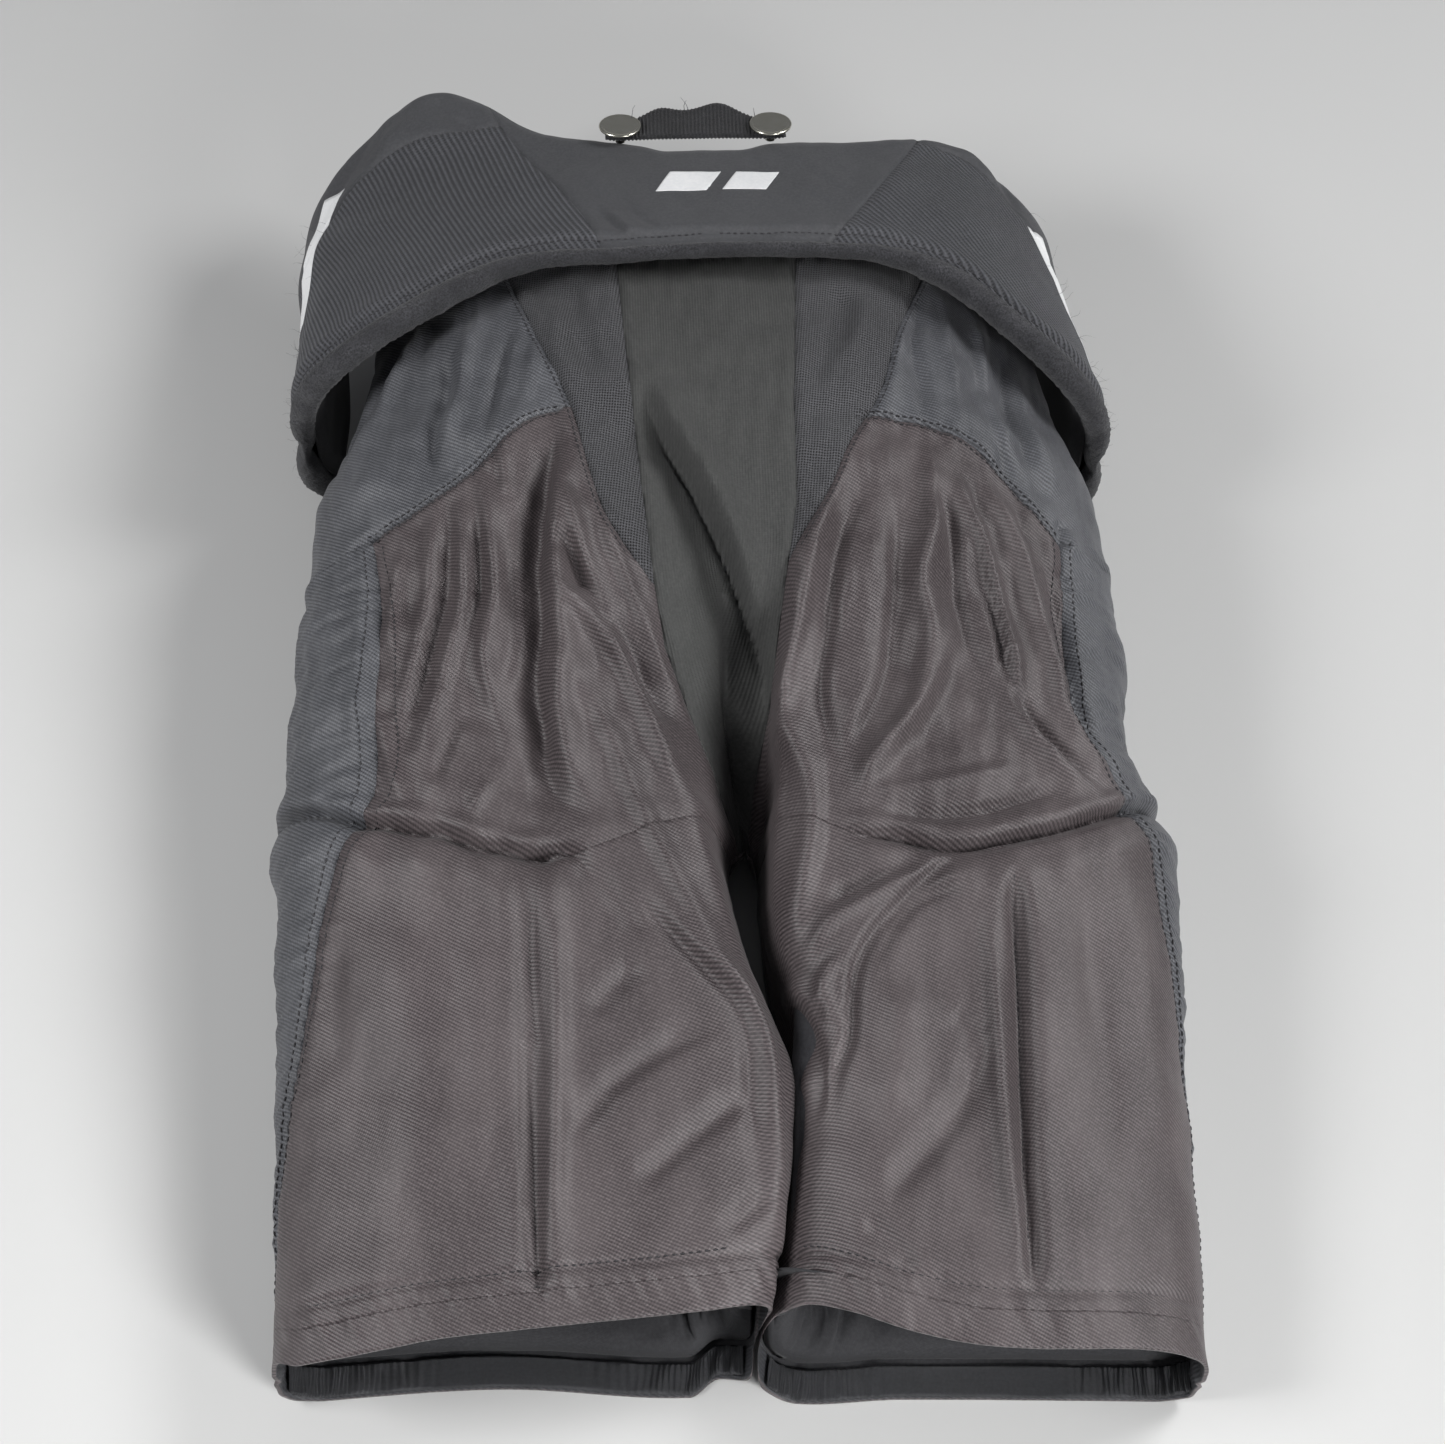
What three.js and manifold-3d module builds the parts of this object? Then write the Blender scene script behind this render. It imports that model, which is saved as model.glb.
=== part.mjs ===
// Padded ice hockey pants, lying on their front with the seat up.
// Millimetres. +Z is up from the surface the pants lie on, +Y runs from the leg hems to the waist,
// and +X is to the right when the waist is seen at the top. The origin is on the surface, under the middle.
import * as THREE from "three";
import { mergeVertices } from "three/addons/utils/BufferGeometryUtils.js";
import Module from "manifold-3d";

const wasm = await Module();
wasm.setup();

// ---------------------------------------------------------------- driving dimensions

const HEM_TO_WAIST = 478; // front and back length of the shell, hem to waist edge
const WIDTH = 320; // across both thighs, as the pants lie
const SEAT_HEIGHT = 111; // the seat's highest point above the surface

const FABRIC = 2; // shell fabric with its backing
const GAP = 0.6; // between one layer and the next
const SEAM = 0.6; // between neighbouring panels of one layer
const PLATE = 1.7; // plastic guards
const LEG_FOAM = 7.4; // foam on the front of the thigh
const REAR_FOAM = 8; // foam on the back of the thigh
const HIP_FOAM = 8;
const TAIL_FOAM = 6;
const LINER = 1.2;
const CREASE = 0.8; // between a leg's stiff block and the soft upper thigh sewn to it

const GUARD_COVER = 1.8;
const GUARD_FOAM = 6;
const GUARD_LINING = 1.4;
const GUARD_STANDOFF_FREE = 9; // the same, at the guard's free lower edge and at its wings
const GUARD_EDGE_RADIUS = 5; // padded roll along the free edge
const GUARD_THICKNESS = GUARD_COVER + GAP + PLATE + GAP + GUARD_FOAM + GAP + GUARD_LINING;

const BELT_WIDTH = 24;
const BELT = 1.5;
const GUARD_STANDOFF_HINGE = GAP + BELT + 0.4; // the guard's lining lies on the belt at the waist

const BUTTON_SPACING = 60; // between the two suspender buttons
const BUTTON_RADIUS = 8.5;
const BUTTON_HEAD = 2;
const BUTTON_SHANK_RADIUS = 2;
const SHANK_CLEARANCE = 0.4;
const BUTTON_TILT = 17; // degrees, facing away from the seat
const LOOP = 1.6; // elastic loop between the buttons
const LOOP_WIDTH = 13;
const LOOP_BOW = 5; // the loop's middle stands this far past the line of the buttons
const LOOP_NOTCH = 40; // width of the opening in the guard's edge below the loop
const LOOP_FINGER_GAP = 5.5; // between the notch and the loop's lower edge

const EYELET_FLANGE_RADIUS = 5;
const EYELET_BARREL_RADIUS = 3;
const EYELET_BORE_RADIUS = 2.2;
const EYELET_FLANGE = 0.6;
const EYELET_CLEARANCE = 0.4;

const BUCKLE_LENGTH = 44;
const BUCKLE_BAR = 4;
const BUCKLE_THICKNESS = 3;
const BUCKLE_PIN_RADIUS = 1.1;
const BUCKLE_LEVER = 2;
const BUCKLE_CLEARANCE = 0.4;

// ---------------------------------------------------------------- grading

// The pattern below is drafted at this base size, and graded to the size above.
const BASE = { length: 478, halfWidth: 160, height: 111 };
const gy = (y) => (y * HEM_TO_WAIST) / BASE.length;
const gx = (x) => (x * WIDTH) / 2 / BASE.halfWidth;
const gz = (z) => (z * SEAT_HEIGHT) / BASE.height;

const HEM_Y = gy(-250);
const HEM_BAND_Y = HEM_Y + 12;
const JOINT_Y = gy(-58); // where each leg turns on the seat
const SHELL_BOTTOM_Y = JOINT_Y + CREASE / 2;
const LEG_TOP_Y = JOINT_Y - CREASE / 2;
const WAIST_Y = gy(228);
const BEYOND = 400; // cutters reach this far past the part

// Stations along the pants: y, half width, top, widest height, underside.
const STATIONS = [
  [-250, 158, 58, 24, 0],
  [-150, 158, 68, 28, 0],
  [-60, 160, 84, 34, 0],
  [0, 158, 99, 42, 0],
  [60, 151, 109, 48, 0],
  [110, 142, 111, 50, 1.5],
  [150, 134, 107, 50, 3.5],
  [190, 124, 98, 49, 7],
  [228, 108, 88, 47, 11],
  [262, 98, 80, 46, 13],
].map(([y, a, top, mid, low]) => [gy(y), gx(a), gz(top), gz(mid), gz(low)]);

// Cubic through the stations' values in one column.
function along(y, column) {
  let i = STATIONS.findIndex((s) => s[0] > y) - 1;
  if (i < 0) i = y <= STATIONS[0][0] ? 0 : STATIONS.length - 2;
  const at = (k) => STATIONS[THREE.MathUtils.clamp(k, 0, STATIONS.length - 1)];
  const [p0, p1, p2, p3] = [at(i - 1), at(i), at(i + 1), at(i + 2)];
  const h = p2[0] - p1[0];
  const t = THREE.MathUtils.clamp((y - p1[0]) / h, 0, 1);
  const m1 = ((p2[column] - p0[column]) / (p2[0] - p0[0])) * h;
  const m2 = ((p3[column] - p1[column]) / (p3[0] - p1[0])) * h;
  const [t2, t3] = [t * t, t * t * t];
  return (
    (2 * t3 - 3 * t2 + 1) * p1[column] +
    (t3 - 2 * t2 + t) * m1 +
    (3 * t2 - 2 * t3) * p2[column] +
    (t3 - t2) * m2
  );
}
const halfWidthAt = (y) => along(y, 1);
const topAt = (y) => along(y, 2);
const midAt = (y) => along(y, 3);
const lowAt = (y) => Math.max(0, along(y, 4));

// How far the seat has parted into two legs: 0 above the crotch, 1 in the legs.
const legness = (y) => THREE.MathUtils.smoothstep(-y, gy(-40), gy(78));

// ---------------------------------------------------------------- cross-sections

const CORNER_TOP = 2.6; // superellipse exponents: 2 is round, larger is squarer
const CORNER_LOW = 4.5;
const CORNER_INSIDE_LEG = 4;
const FLATTENED = 3; // the underside is cut flat this far above the curve's lowest point
const LEGS_APART = 0.8; // half the gap between the two legs' inner walls

function superPoint(cx, cz, ax, az, exponent, angle) {
  const c = Math.cos(angle);
  const s = Math.sin(angle);
  return [
    cx + ax * Math.sign(c) * Math.abs(c) ** (2 / exponent),
    cz + az * Math.sign(s) * Math.abs(s) ** (2 / exponent),
  ];
}

// One point of the seat's right half, share 0 at the top middle and 1 at the bottom middle.
function seatPoint(y, share) {
  const [a, top, mid, low] = [halfWidthAt(y), topAt(y), midAt(y), lowAt(y)];
  const blend = legness(y);
  const body = Math.PI * (0.5 - share);
  const leg = Math.PI * (1 - 2 * share);
  const up = share < 0.5;
  const rise = up ? top - mid : mid - low + FLATTENED;
  const [bx, bz] = superPoint(0, mid, a, rise, up ? CORNER_TOP : CORNER_LOW, body);
  const inner = Math.cos(leg) < 0;
  const [lx, lz] = superPoint(a / 2, mid, a / 2, rise, inner || !up ? CORNER_LOW : CORNER_TOP, leg);
  return [bx + (lx - bx) * blend, Math.max(low, bz + (lz - bz) * blend)];
}

// One point of the right leg's loop, pulled in by depth.
function legPoint(y, angle, depth) {
  const [a, top, mid, low] = [halfWidthAt(y), topAt(y), midAt(y), lowAt(y)];
  const up = Math.sin(angle) > 0;
  const inner = Math.cos(angle) < 0;
  const exponent = inner ? CORNER_INSIDE_LEG : up ? CORNER_TOP : CORNER_LOW;
  const centre = (a + LEGS_APART) / 2;
  const halfWidth = (a - LEGS_APART) / 2 - depth;
  const rise = (up ? top - mid : mid - low + FLATTENED) - depth;
  const [x, z] = superPoint(centre, mid, halfWidth, rise, exponent, angle);
  return [x, Math.max(low + depth, z)];
}

// Parameters of count + 1 points evenly spaced along a curve.
function evenly(curve, from, to, count) {
  const steps = 240;
  const lengths = [0];
  let last = curve(from);
  for (let i = 1; i <= steps; i++) {
    const next = curve(from + ((to - from) * i) / steps);
    lengths.push(lengths[i - 1] + Math.hypot(next[0] - last[0], next[1] - last[1]));
    last = next;
  }
  const found = [];
  for (let k = 0, i = 0; k <= count; k++) {
    const wanted = (lengths[steps] * k) / count;
    while (i < steps - 1 && lengths[i + 1] < wanted) i++;
    const share = (wanted - lengths[i]) / (lengths[i + 1] - lengths[i]);
    found.push(from + ((to - from) * (i + THREE.MathUtils.clamp(share, 0, 1))) / steps);
  }
  return found;
}

const SEAT_HALF_STEPS = 15;
const LEG_STEPS = 24;

// The seat's whole loop at y, pulled in by depth along its own normals. A negative depth pushes it out.
function seatLoop(y, depth) {
  const shares = evenly((s) => seatPoint(y, s), 0, 1, SEAT_HALF_STEPS);
  const right = shares.map((s, i) => {
    const [x, z] = seatPoint(y, s);
    if (i === 0) return [0, z - depth];
    if (i === SEAT_HALF_STEPS) return [0, z + depth];
    const before = seatPoint(y, s - 0.01);
    const after = seatPoint(y, s + 0.01);
    const [tx, tz] = [after[0] - before[0], after[1] - before[1]];
    const length = Math.hypot(tx, tz);
    return [x + (tz / length) * depth, z - (tx / length) * depth];
  });
  const left = right.slice(1, -1).reverse().map(([x, z]) => [-x, z]);
  return [...right, ...left].map(([x, z]) => new THREE.Vector3(x, y, z));
}

function legLoop(y, depth) {
  const angles = evenly((t) => legPoint(y, t, 0), Math.PI, -Math.PI, LEG_STEPS).slice(0, -1);
  return angles.map((t) => {
    const [x, z] = legPoint(y, t, depth);
    return new THREE.Vector3(x, y, z);
  });
}

// ---------------------------------------------------------------- solids

function solidOf(geometry) {
  const plain = new THREE.BufferGeometry();
  const source = geometry.index ? geometry.toNonIndexed() : geometry;
  plain.setAttribute("position", source.getAttribute("position").clone());
  const merged = mergeVertices(plain, 1e-4);
  const vertProperties = merged.attributes.position.array;
  const triVerts = new Uint32Array(merged.index.array);
  const made = new wasm.Manifold(new wasm.Mesh({ numProp: 3, vertProperties, triVerts }));
  if (made.volume() > 0) return made;
  for (let i = 0; i < triVerts.length; i += 3) {
    [triVerts[i + 1], triVerts[i + 2]] = [triVerts[i + 2], triVerts[i + 1]];
  }
  return new wasm.Manifold(new wasm.Mesh({ numProp: 3, vertProperties, triVerts }));
}

function geometryOf(solid) {
  const m = solid.getMesh();
  const geometry = new THREE.BufferGeometry();
  geometry.setAttribute("position", new THREE.BufferAttribute(new Float32Array(m.vertProperties), 3));
  geometry.setIndex(new THREE.BufferAttribute(new Uint32Array(m.triVerts), 1));
  return geometry;
}

// A closed sheet between two grids of points: rows of loops, or rows of open lines.
// Its second half is split into triangles the other way round, so that a symmetrical sheet stays symmetrical.
function sheet(outer, inner, looped) {
  const rows = outer.length;
  const columns = outer[0].length;
  const position = [];
  for (const grid of [outer, inner]) {
    for (const row of grid) for (const p of row) position.push(p.x, p.y, p.z);
  }
  const id = (side, r, c) => (side * rows + r) * columns + (c % columns);
  const index = [];
  const spans = looped ? columns : columns - 1;
  const quad = (a, b, c, d, column = 0) => {
    if (column < spans / 2) index.push(a, b, c, a, c, d);
    else index.push(a, b, d, b, c, d);
  };
  for (let r = 0; r < rows - 1; r++) {
    for (let c = 0; c < spans; c++) {
      quad(id(0, r, c), id(0, r, c + 1), id(0, r + 1, c + 1), id(0, r + 1, c), c);
      quad(id(1, r, c), id(1, r + 1, c), id(1, r + 1, c + 1), id(1, r, c + 1), c);
    }
    if (!looped) {
      quad(id(0, r, 0), id(0, r + 1, 0), id(1, r + 1, 0), id(1, r, 0));
      quad(id(0, r, spans), id(1, r, spans), id(1, r + 1, spans), id(0, r + 1, spans));
    }
  }
  for (let c = 0; c < spans; c++) {
    quad(id(0, 0, c), id(1, 0, c), id(1, 0, c + 1), id(0, 0, c + 1));
    quad(id(0, rows - 1, c), id(0, rows - 1, c + 1), id(1, rows - 1, c + 1), id(1, rows - 1, c));
  }
  const geometry = new THREE.BufferGeometry();
  geometry.setAttribute("position", new THREE.Float32BufferAttribute(position, 3));
  geometry.setIndex(index);
  return solidOf(geometry);
}

// An upright prism over a plan outline of [x, y] points.
function planPrism(outline, bottom = -BEYOND, top = BEYOND) {
  const shape = new THREE.Shape(outline.map(([x, y]) => new THREE.Vector2(x, y)));
  const geometry = new THREE.ExtrudeGeometry(shape, { depth: top - bottom, bevelEnabled: false });
  return solidOf(geometry.translate(0, 0, bottom));
}

// A prism along X over a side outline of [y, z] points.
function sidePrism(outline, from, to) {
  const shape = new THREE.Shape(outline.map(([y, z]) => new THREE.Vector2(y, z)));
  const geometry = new THREE.ExtrudeGeometry(shape, { depth: to - from, bevelEnabled: false });
  const turn = new THREE.Matrix4().makeBasis(
    new THREE.Vector3(0, 1, 0),
    new THREE.Vector3(0, 0, 1),
    new THREE.Vector3(1, 0, 0),
  );
  return solidOf(geometry.applyMatrix4(turn).translate(from, 0, 0));
}

const slab = (x0, x1, y0, y1, z0, z1) =>
  planPrism([[x0, y0], [x1, y0], [x1, y1], [x0, y1]], z0, z1);

// The strip of a plan curve of [x, y] points, from the curve to x = side.
const besideCurve = (curve, side) => [
  ...curve,
  [side, curve.at(-1)[1]],
  [side, curve[0][1]],
];
const shifted = (curve, dx, dy = 0) => curve.map(([x, y]) => [x + dx, y + dy]);

// Where a plan curve that climbs in y passes height y.
function xOn(curve, y) {
  const i = curve.findIndex((p) => p[1] > y);
  const [[x0, y0], [x1, y1]] = [curve[i - 1], curve[i]];
  return x0 + ((x1 - x0) * (y - y0)) / (y1 - y0);
}

// ---------------------------------------------------------------- the layers before cutting

const SEAT_ROWS = [-30, 0, 30, 60, 90, 120, 150, 175, 200].map(gy);
const seatYs = [SHELL_BOTTOM_Y, ...SEAT_ROWS, WAIST_Y];
const legYs = [HEM_Y, HEM_BAND_Y, gy(-200), gy(-150), gy(-100), LEG_TOP_Y];

const seatLayer = (from, thickness) =>
  sheet(seatYs.map((y) => seatLoop(y, from)), seatYs.map((y) => seatLoop(y, from + thickness)), true);
const legLayer = (from, thickness) =>
  sheet(legYs.map((y) => legLoop(y, from)), legYs.map((y) => legLoop(y, from + thickness)), true);

// ---------------------------------------------------------------- pattern lines, right side

// Half width of the stretch panel in the middle of the seat.
const STRETCH_EDGE = [[6, -62], [14, -30], [26, 30], [30, 65], [34, 150], [36, 240]]
  .map(([x, y]) => [gx(x), gy(y)]);
// Outer edge of the mesh gusset beside it, from its tip to the waist.
const GUSSET_EDGE = [[26, 30], [43, 58], [57, 88], [81, 150], [98, 240]]
  .map(([x, y]) => [gx(x), gy(y)]);
// Seam between the hip yoke and the thigh, from the gusset out to the side.
const YOKE_SEAM = [[57, 88], [80, 80], [102, 65], [128, 51], [200, 50]]
  .map(([x, y]) => [gx(x), gy(y)]);
// Height of the seam between the back of the thigh and the side panel.
const SIDE_SEAM = [[-262, 22], [-185, 32], [-115, 45], [-45, 62], [0, 70], [50, 80], [70, 80]]
  .map(([y, z]) => [gy(y), gz(z)]);
const SIDE_SEAM_LOW = gz(12);
const INSEAM_HEIGHT = gz(27);
const WAIST_LINE = gz(50);
const FRONT_CREASE_Y = gy(50);
const FLY_BOTTOM_Y = gy(95);
const FLY_HALF_OPENING = 7;
const FRONT_GUSSET_EDGE = [[5, -62], [16, -20], [20, 50], [13, 95]].map(([x, y]) => [gx(x), gy(y)]);
const MIDDLE_OF_LEG = gx(75);

const half = SEAM / 2;
const aboveSideSeam = sidePrism(
  [...shifted(SIDE_SEAM, 0, half), [BEYOND, SIDE_SEAM.at(-1)[1] + half], [BEYOND, BEYOND], [-BEYOND, BEYOND],
    [-BEYOND, SIDE_SEAM[0][1] + half]],
  MIDDLE_OF_LEG,
  BEYOND,
);
const sideBand = sidePrism(
  [...shifted(SIDE_SEAM, 0, -half), [SIDE_SEAM.at(-1)[0], SIDE_SEAM_LOW + half],
    [SIDE_SEAM[0][0], SIDE_SEAM_LOW + half]],
  MIDDLE_OF_LEG,
  BEYOND,
);

// ---------------------------------------------------------------- pieces and materials

const fabric = (colour, roughness) =>
  new THREE.MeshStandardMaterial({ color: colour, roughness, metalness: 0 });
const MATERIAL = {
  brownNylon: fabric(0x3a3536, 0.6),
  greyNylon: fabric(0x36383f, 0.62),
  stretchKnit: fabric(0x2a2b2b, 0.8),
  mesh: fabric(0x26272a, 0.85),
  cover: fabric(0x2e2f32, 0.75),
  lining: fabric(0x2c2d2f, 0.8),
  foam: fabric(0x4a4c50, 0.9),
  webbing: fabric(0x161618, 0.9),
  plastic: new THREE.MeshStandardMaterial({ color: 0x1b1c1e, roughness: 0.45, metalness: 0 }),
  steel: new THREE.MeshStandardMaterial({ color: 0xb9b7ab, roughness: 0.3, metalness: 1 }),
};

const pants = new THREE.Group();

function piece(name, solid, material) {
  const mesh = new THREE.Mesh(solid.isBufferGeometry ? solid : geometryOf(solid), material);
  mesh.name = name;
  pants.add(mesh);
  return mesh;
}

// The right piece as made, and the left one as its mirror image.
function pair(name, solid, material) {
  const right = piece("right_" + name, solid, material);
  const left = piece("left_" + name, right.geometry, material);
  left.scale.x = -1;
}

// ---------------------------------------------------------------- seat shell

const seatSkin = seatLayer(0, FABRIC);
const rear = slab(-BEYOND, BEYOND, -BEYOND, BEYOND, WAIST_LINE, BEYOND);
const front = slab(-BEYOND, BEYOND, -BEYOND, BEYOND, -BEYOND, SIDE_SEAM_LOW - half);

const stretchHalf = shifted(STRETCH_EDGE, -half);
const stretchOutline = [...stretchHalf, ...stretchHalf.toReversed().map(([x, y]) => [-x, y])];
piece("seat_stretch_panel", seatSkin.intersect(planPrism(stretchOutline, midAt(JOINT_Y), BEYOND)),
  MATERIAL.stretchKnit);

const gussetInner = shifted(STRETCH_EDGE.filter(([, y]) => y > gy(31)), half);
const gussetOuter = shifted(GUSSET_EDGE, -half);
const gussetTip = [xOn(STRETCH_EDGE, gy(36)) + half, gy(36)];
const gussetOutline = [gussetTip, ...gussetOuter.slice(1), ...gussetInner.toReversed()];
pair("mesh_gusset", seatSkin.intersect(planPrism(gussetOutline, WAIST_LINE, BEYOND)), MATERIAL.mesh);

const yokeInner = shifted(GUSSET_EDGE.slice(2), half);
const yokeSeamAbove = shifted(YOKE_SEAM, 0, half);
const yokeOutline = [...yokeSeamAbove.toReversed(), ...yokeInner.slice(1), [BEYOND, yokeInner.at(-1)[1]],
  [BEYOND, yokeSeamAbove.at(-1)[1]]];
pair("hip_yoke", seatSkin.intersect(planPrism(yokeOutline, SIDE_SEAM_LOW + half, BEYOND)),
  MATERIAL.greyNylon);

const stretchLower = shifted(STRETCH_EDGE.slice(0, 3), half);
const thighOutline = [...stretchLower, ...shifted(GUSSET_EDGE.slice(1, 3), half),
  ...shifted(YOKE_SEAM.slice(1), 0, -half), [BEYOND, YOKE_SEAM.at(-1)[1] - half],
  [BEYOND, stretchLower[0][1]]];
const upperThigh = planPrism(thighOutline);
pair("rear_upper_thigh", seatSkin.intersect(upperThigh)
  .intersect(aboveSideSeam.add(slab(0, MIDDLE_OF_LEG + 1, -BEYOND, BEYOND, midAt(JOINT_Y), BEYOND))),
  MATERIAL.brownNylon);
pair("upper_side_panel", seatSkin.intersect(upperThigh).intersect(sideBand), MATERIAL.greyNylon);

const creaseBelow = FRONT_CREASE_Y - half;
const frontGussetOuter = shifted(FRONT_GUSSET_EDGE, half);
const frontThighOutline = [...frontGussetOuter.slice(0, 2), [frontGussetOuter[2][0], creaseBelow],
  [BEYOND, creaseBelow], [BEYOND, frontGussetOuter[0][1]]];
const lowInside = slab(0, MIDDLE_OF_LEG + 1, -BEYOND, BEYOND, -BEYOND, midAt(JOINT_Y) - SEAM);
pair("front_upper_thigh", seatSkin.intersect(planPrism(frontThighOutline)).intersect(front.add(lowInside)),
  MATERIAL.greyNylon);

const crotchGap = 4; // the two ends of the gusset's cut stay this far from the legs' corners
const frontGussetInner = shifted(FRONT_GUSSET_EDGE, -half);
const frontGussetOutline = [...frontGussetInner, ...frontGussetInner.toReversed().map(([x, y]) => [-x, y])];
piece("crotch_gusset",
  seatSkin.intersect(planPrism(frontGussetOutline, -BEYOND, midAt(JOINT_Y) - crotchGap / 2)),
  MATERIAL.stretchKnit);

// ---------------------------------------------------------------- fly, with its eyelets

const EYELET_YS = [gy(128), gy(172)];
const EYELET_X = FLY_HALF_OPENING + EYELET_FLANGE_RADIUS + 3;
const undersideSlope = (y) => Math.atan2(lowAt(y + 5) - lowAt(y - 5), 10);

// Radius and height pairs, turned about Z into a closed ring.
function ring(profile, sides) {
  const points = profile.map(([r, z]) => new THREE.Vector2(r, z));
  return new THREE.LatheGeometry(points, sides).rotateX(Math.PI / 2);
}

function atEyelet(geometry, y) {
  return geometry.rotateX(undersideSlope(y)).translate(EYELET_X, y, lowAt(y) + FABRIC / 2);
}

function eyelet(y) {
  const reach = FABRIC / 2 + EYELET_CLEARANCE;
  const profile = [
    [EYELET_BORE_RADIUS, -reach - EYELET_FLANGE],
    [EYELET_FLANGE_RADIUS, -reach - EYELET_FLANGE],
    [EYELET_FLANGE_RADIUS, -reach],
    [EYELET_BARREL_RADIUS, -reach],
    [EYELET_BARREL_RADIUS, reach],
    [EYELET_FLANGE_RADIUS, reach],
    [EYELET_FLANGE_RADIUS, reach + EYELET_FLANGE],
    [EYELET_BORE_RADIUS, reach + EYELET_FLANGE],
    [EYELET_BORE_RADIUS, -reach - EYELET_FLANGE],
  ];
  return atEyelet(ring(profile, 10), y);
}

let frontYoke = seatSkin.intersect(front).intersect(planPrism([
  [frontGussetOuter[2][0], FRONT_CREASE_Y + half],
  [frontGussetOuter[3][0], FLY_BOTTOM_Y],
  [FLY_HALF_OPENING, FLY_BOTTOM_Y + half],
  [FLY_HALF_OPENING, BEYOND],
  [BEYOND, BEYOND],
  [BEYOND, FRONT_CREASE_Y + half],
]));
for (const y of EYELET_YS) {
  const hole = new THREE.CylinderGeometry(1, 1, 12, 12).rotateX(Math.PI / 2);
  const radius = EYELET_BARREL_RADIUS + EYELET_CLEARANCE;
  frontYoke = frontYoke.subtract(solidOf(atEyelet(hole.scale(radius, radius, 1), y)));
}
pair("front_yoke", frontYoke, MATERIAL.greyNylon);
EYELET_YS.forEach((y, i) => pair("fly_eyelet_" + (i + 1), eyelet(y), MATERIAL.steel));

const tongueDepth = FABRIC + EYELET_CLEARANCE + EYELET_FLANGE + 0.5;
piece("fly_tongue", seatLayer(tongueDepth, 1.4)
  .intersect(slab(-gx(30), gx(30), FLY_BOTTOM_Y - 12, WAIST_Y + 1, -BEYOND, WAIST_LINE)), MATERIAL.lining);

// ---------------------------------------------------------------- pads inside the seat

const plateDepth = FABRIC + GAP;
const foamDepth = plateDepth + PLATE + GAP;
const hipRegion = slab(gx(96), BEYOND, gy(2), gy(118), gz(16), BEYOND);
const hipFoamRegion = slab(gx(92), BEYOND, gy(-8), gy(124), gz(14), BEYOND);
pair("hip_guard_plate", seatLayer(plateDepth, PLATE).intersect(hipRegion), MATERIAL.plastic);
pair("hip_guard_foam", seatLayer(foamDepth, HIP_FOAM).intersect(hipFoamRegion), MATERIAL.foam);

const tailOutline = (grow) => [[-14, 4], [14, 4], [40, 60], [34, 104], [-34, 104], [-40, 60]]
  .map(([x, y]) => [gx(x) + Math.sign(x) * grow, gy(y) + (y > 60 ? grow : 0)]);
piece("tailbone_guard_plate",
  seatLayer(plateDepth, PLATE).intersect(planPrism(tailOutline(0), WAIST_LINE, BEYOND)), MATERIAL.plastic);
piece("tailbone_guard_foam",
  seatLayer(foamDepth, TAIL_FOAM).intersect(planPrism(tailOutline(5), WAIST_LINE, BEYOND)), MATERIAL.foam);

// ---------------------------------------------------------------- legs

const legSkin = legLayer(0, FABRIC);
const aboveBand = slab(-BEYOND, BEYOND, HEM_BAND_Y + SEAM, BEYOND, -BEYOND, BEYOND);
const innerUpper = slab(-1, MIDDLE_OF_LEG, -BEYOND, BEYOND, INSEAM_HEIGHT + half, BEYOND);
const innerLower = slab(-1, MIDDLE_OF_LEG, -BEYOND, BEYOND, -BEYOND, INSEAM_HEIGHT - half);
const outerLower = slab(MIDDLE_OF_LEG, BEYOND, -BEYOND, BEYOND, -BEYOND, SIDE_SEAM_LOW - half);
const legPanels = legSkin.intersect(aboveBand);
pair("rear_thigh_panel", legPanels.intersect(innerUpper.add(aboveSideSeam)), MATERIAL.brownNylon);
pair("side_panel", legPanels.intersect(sideBand), MATERIAL.greyNylon);
pair("front_thigh_panel", legPanels.intersect(innerLower.add(outerLower)), MATERIAL.greyNylon);
pair("hem_band", legSkin.intersect(slab(-BEYOND, BEYOND, -BEYOND, HEM_BAND_Y, -BEYOND, BEYOND)),
  MATERIAL.brownNylon);

const padFrom = HEM_BAND_Y + 4;
const padTo = LEG_TOP_Y - 4;
const frontPadRegion = slab(gx(16), BEYOND, padFrom, padTo, -BEYOND, gz(30));
pair("thigh_guard_plate", legLayer(plateDepth, PLATE)
  .intersect(slab(gx(24), BEYOND, padFrom + 8, padTo, -BEYOND, gz(26))), MATERIAL.plastic);
pair("thigh_guard_foam", legLayer(foamDepth, LEG_FOAM).intersect(frontPadRegion), MATERIAL.foam);

const CHANNEL_X = gx(80); // stitched channel between the two pads on the back of the thigh
const CHANNEL = 8;
const rearPadLow = gz(36);
const rearPadLayer = legLayer(plateDepth, REAR_FOAM);
pair("rear_inner_pad", rearPadLayer
  .intersect(slab(gx(14), CHANNEL_X - CHANNEL / 2, padFrom, padTo, rearPadLow, BEYOND)), MATERIAL.foam);
pair("rear_outer_pad", rearPadLayer
  .intersect(slab(CHANNEL_X + CHANNEL / 2, BEYOND, padFrom, padTo, rearPadLow, BEYOND)), MATERIAL.foam);

const linerDepth = foamDepth + LEG_FOAM + GAP;
pair("leg_liner", legLayer(linerDepth, LINER).intersect(aboveBand), MATERIAL.lining);

// ---------------------------------------------------------------- belt and buckle

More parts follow.
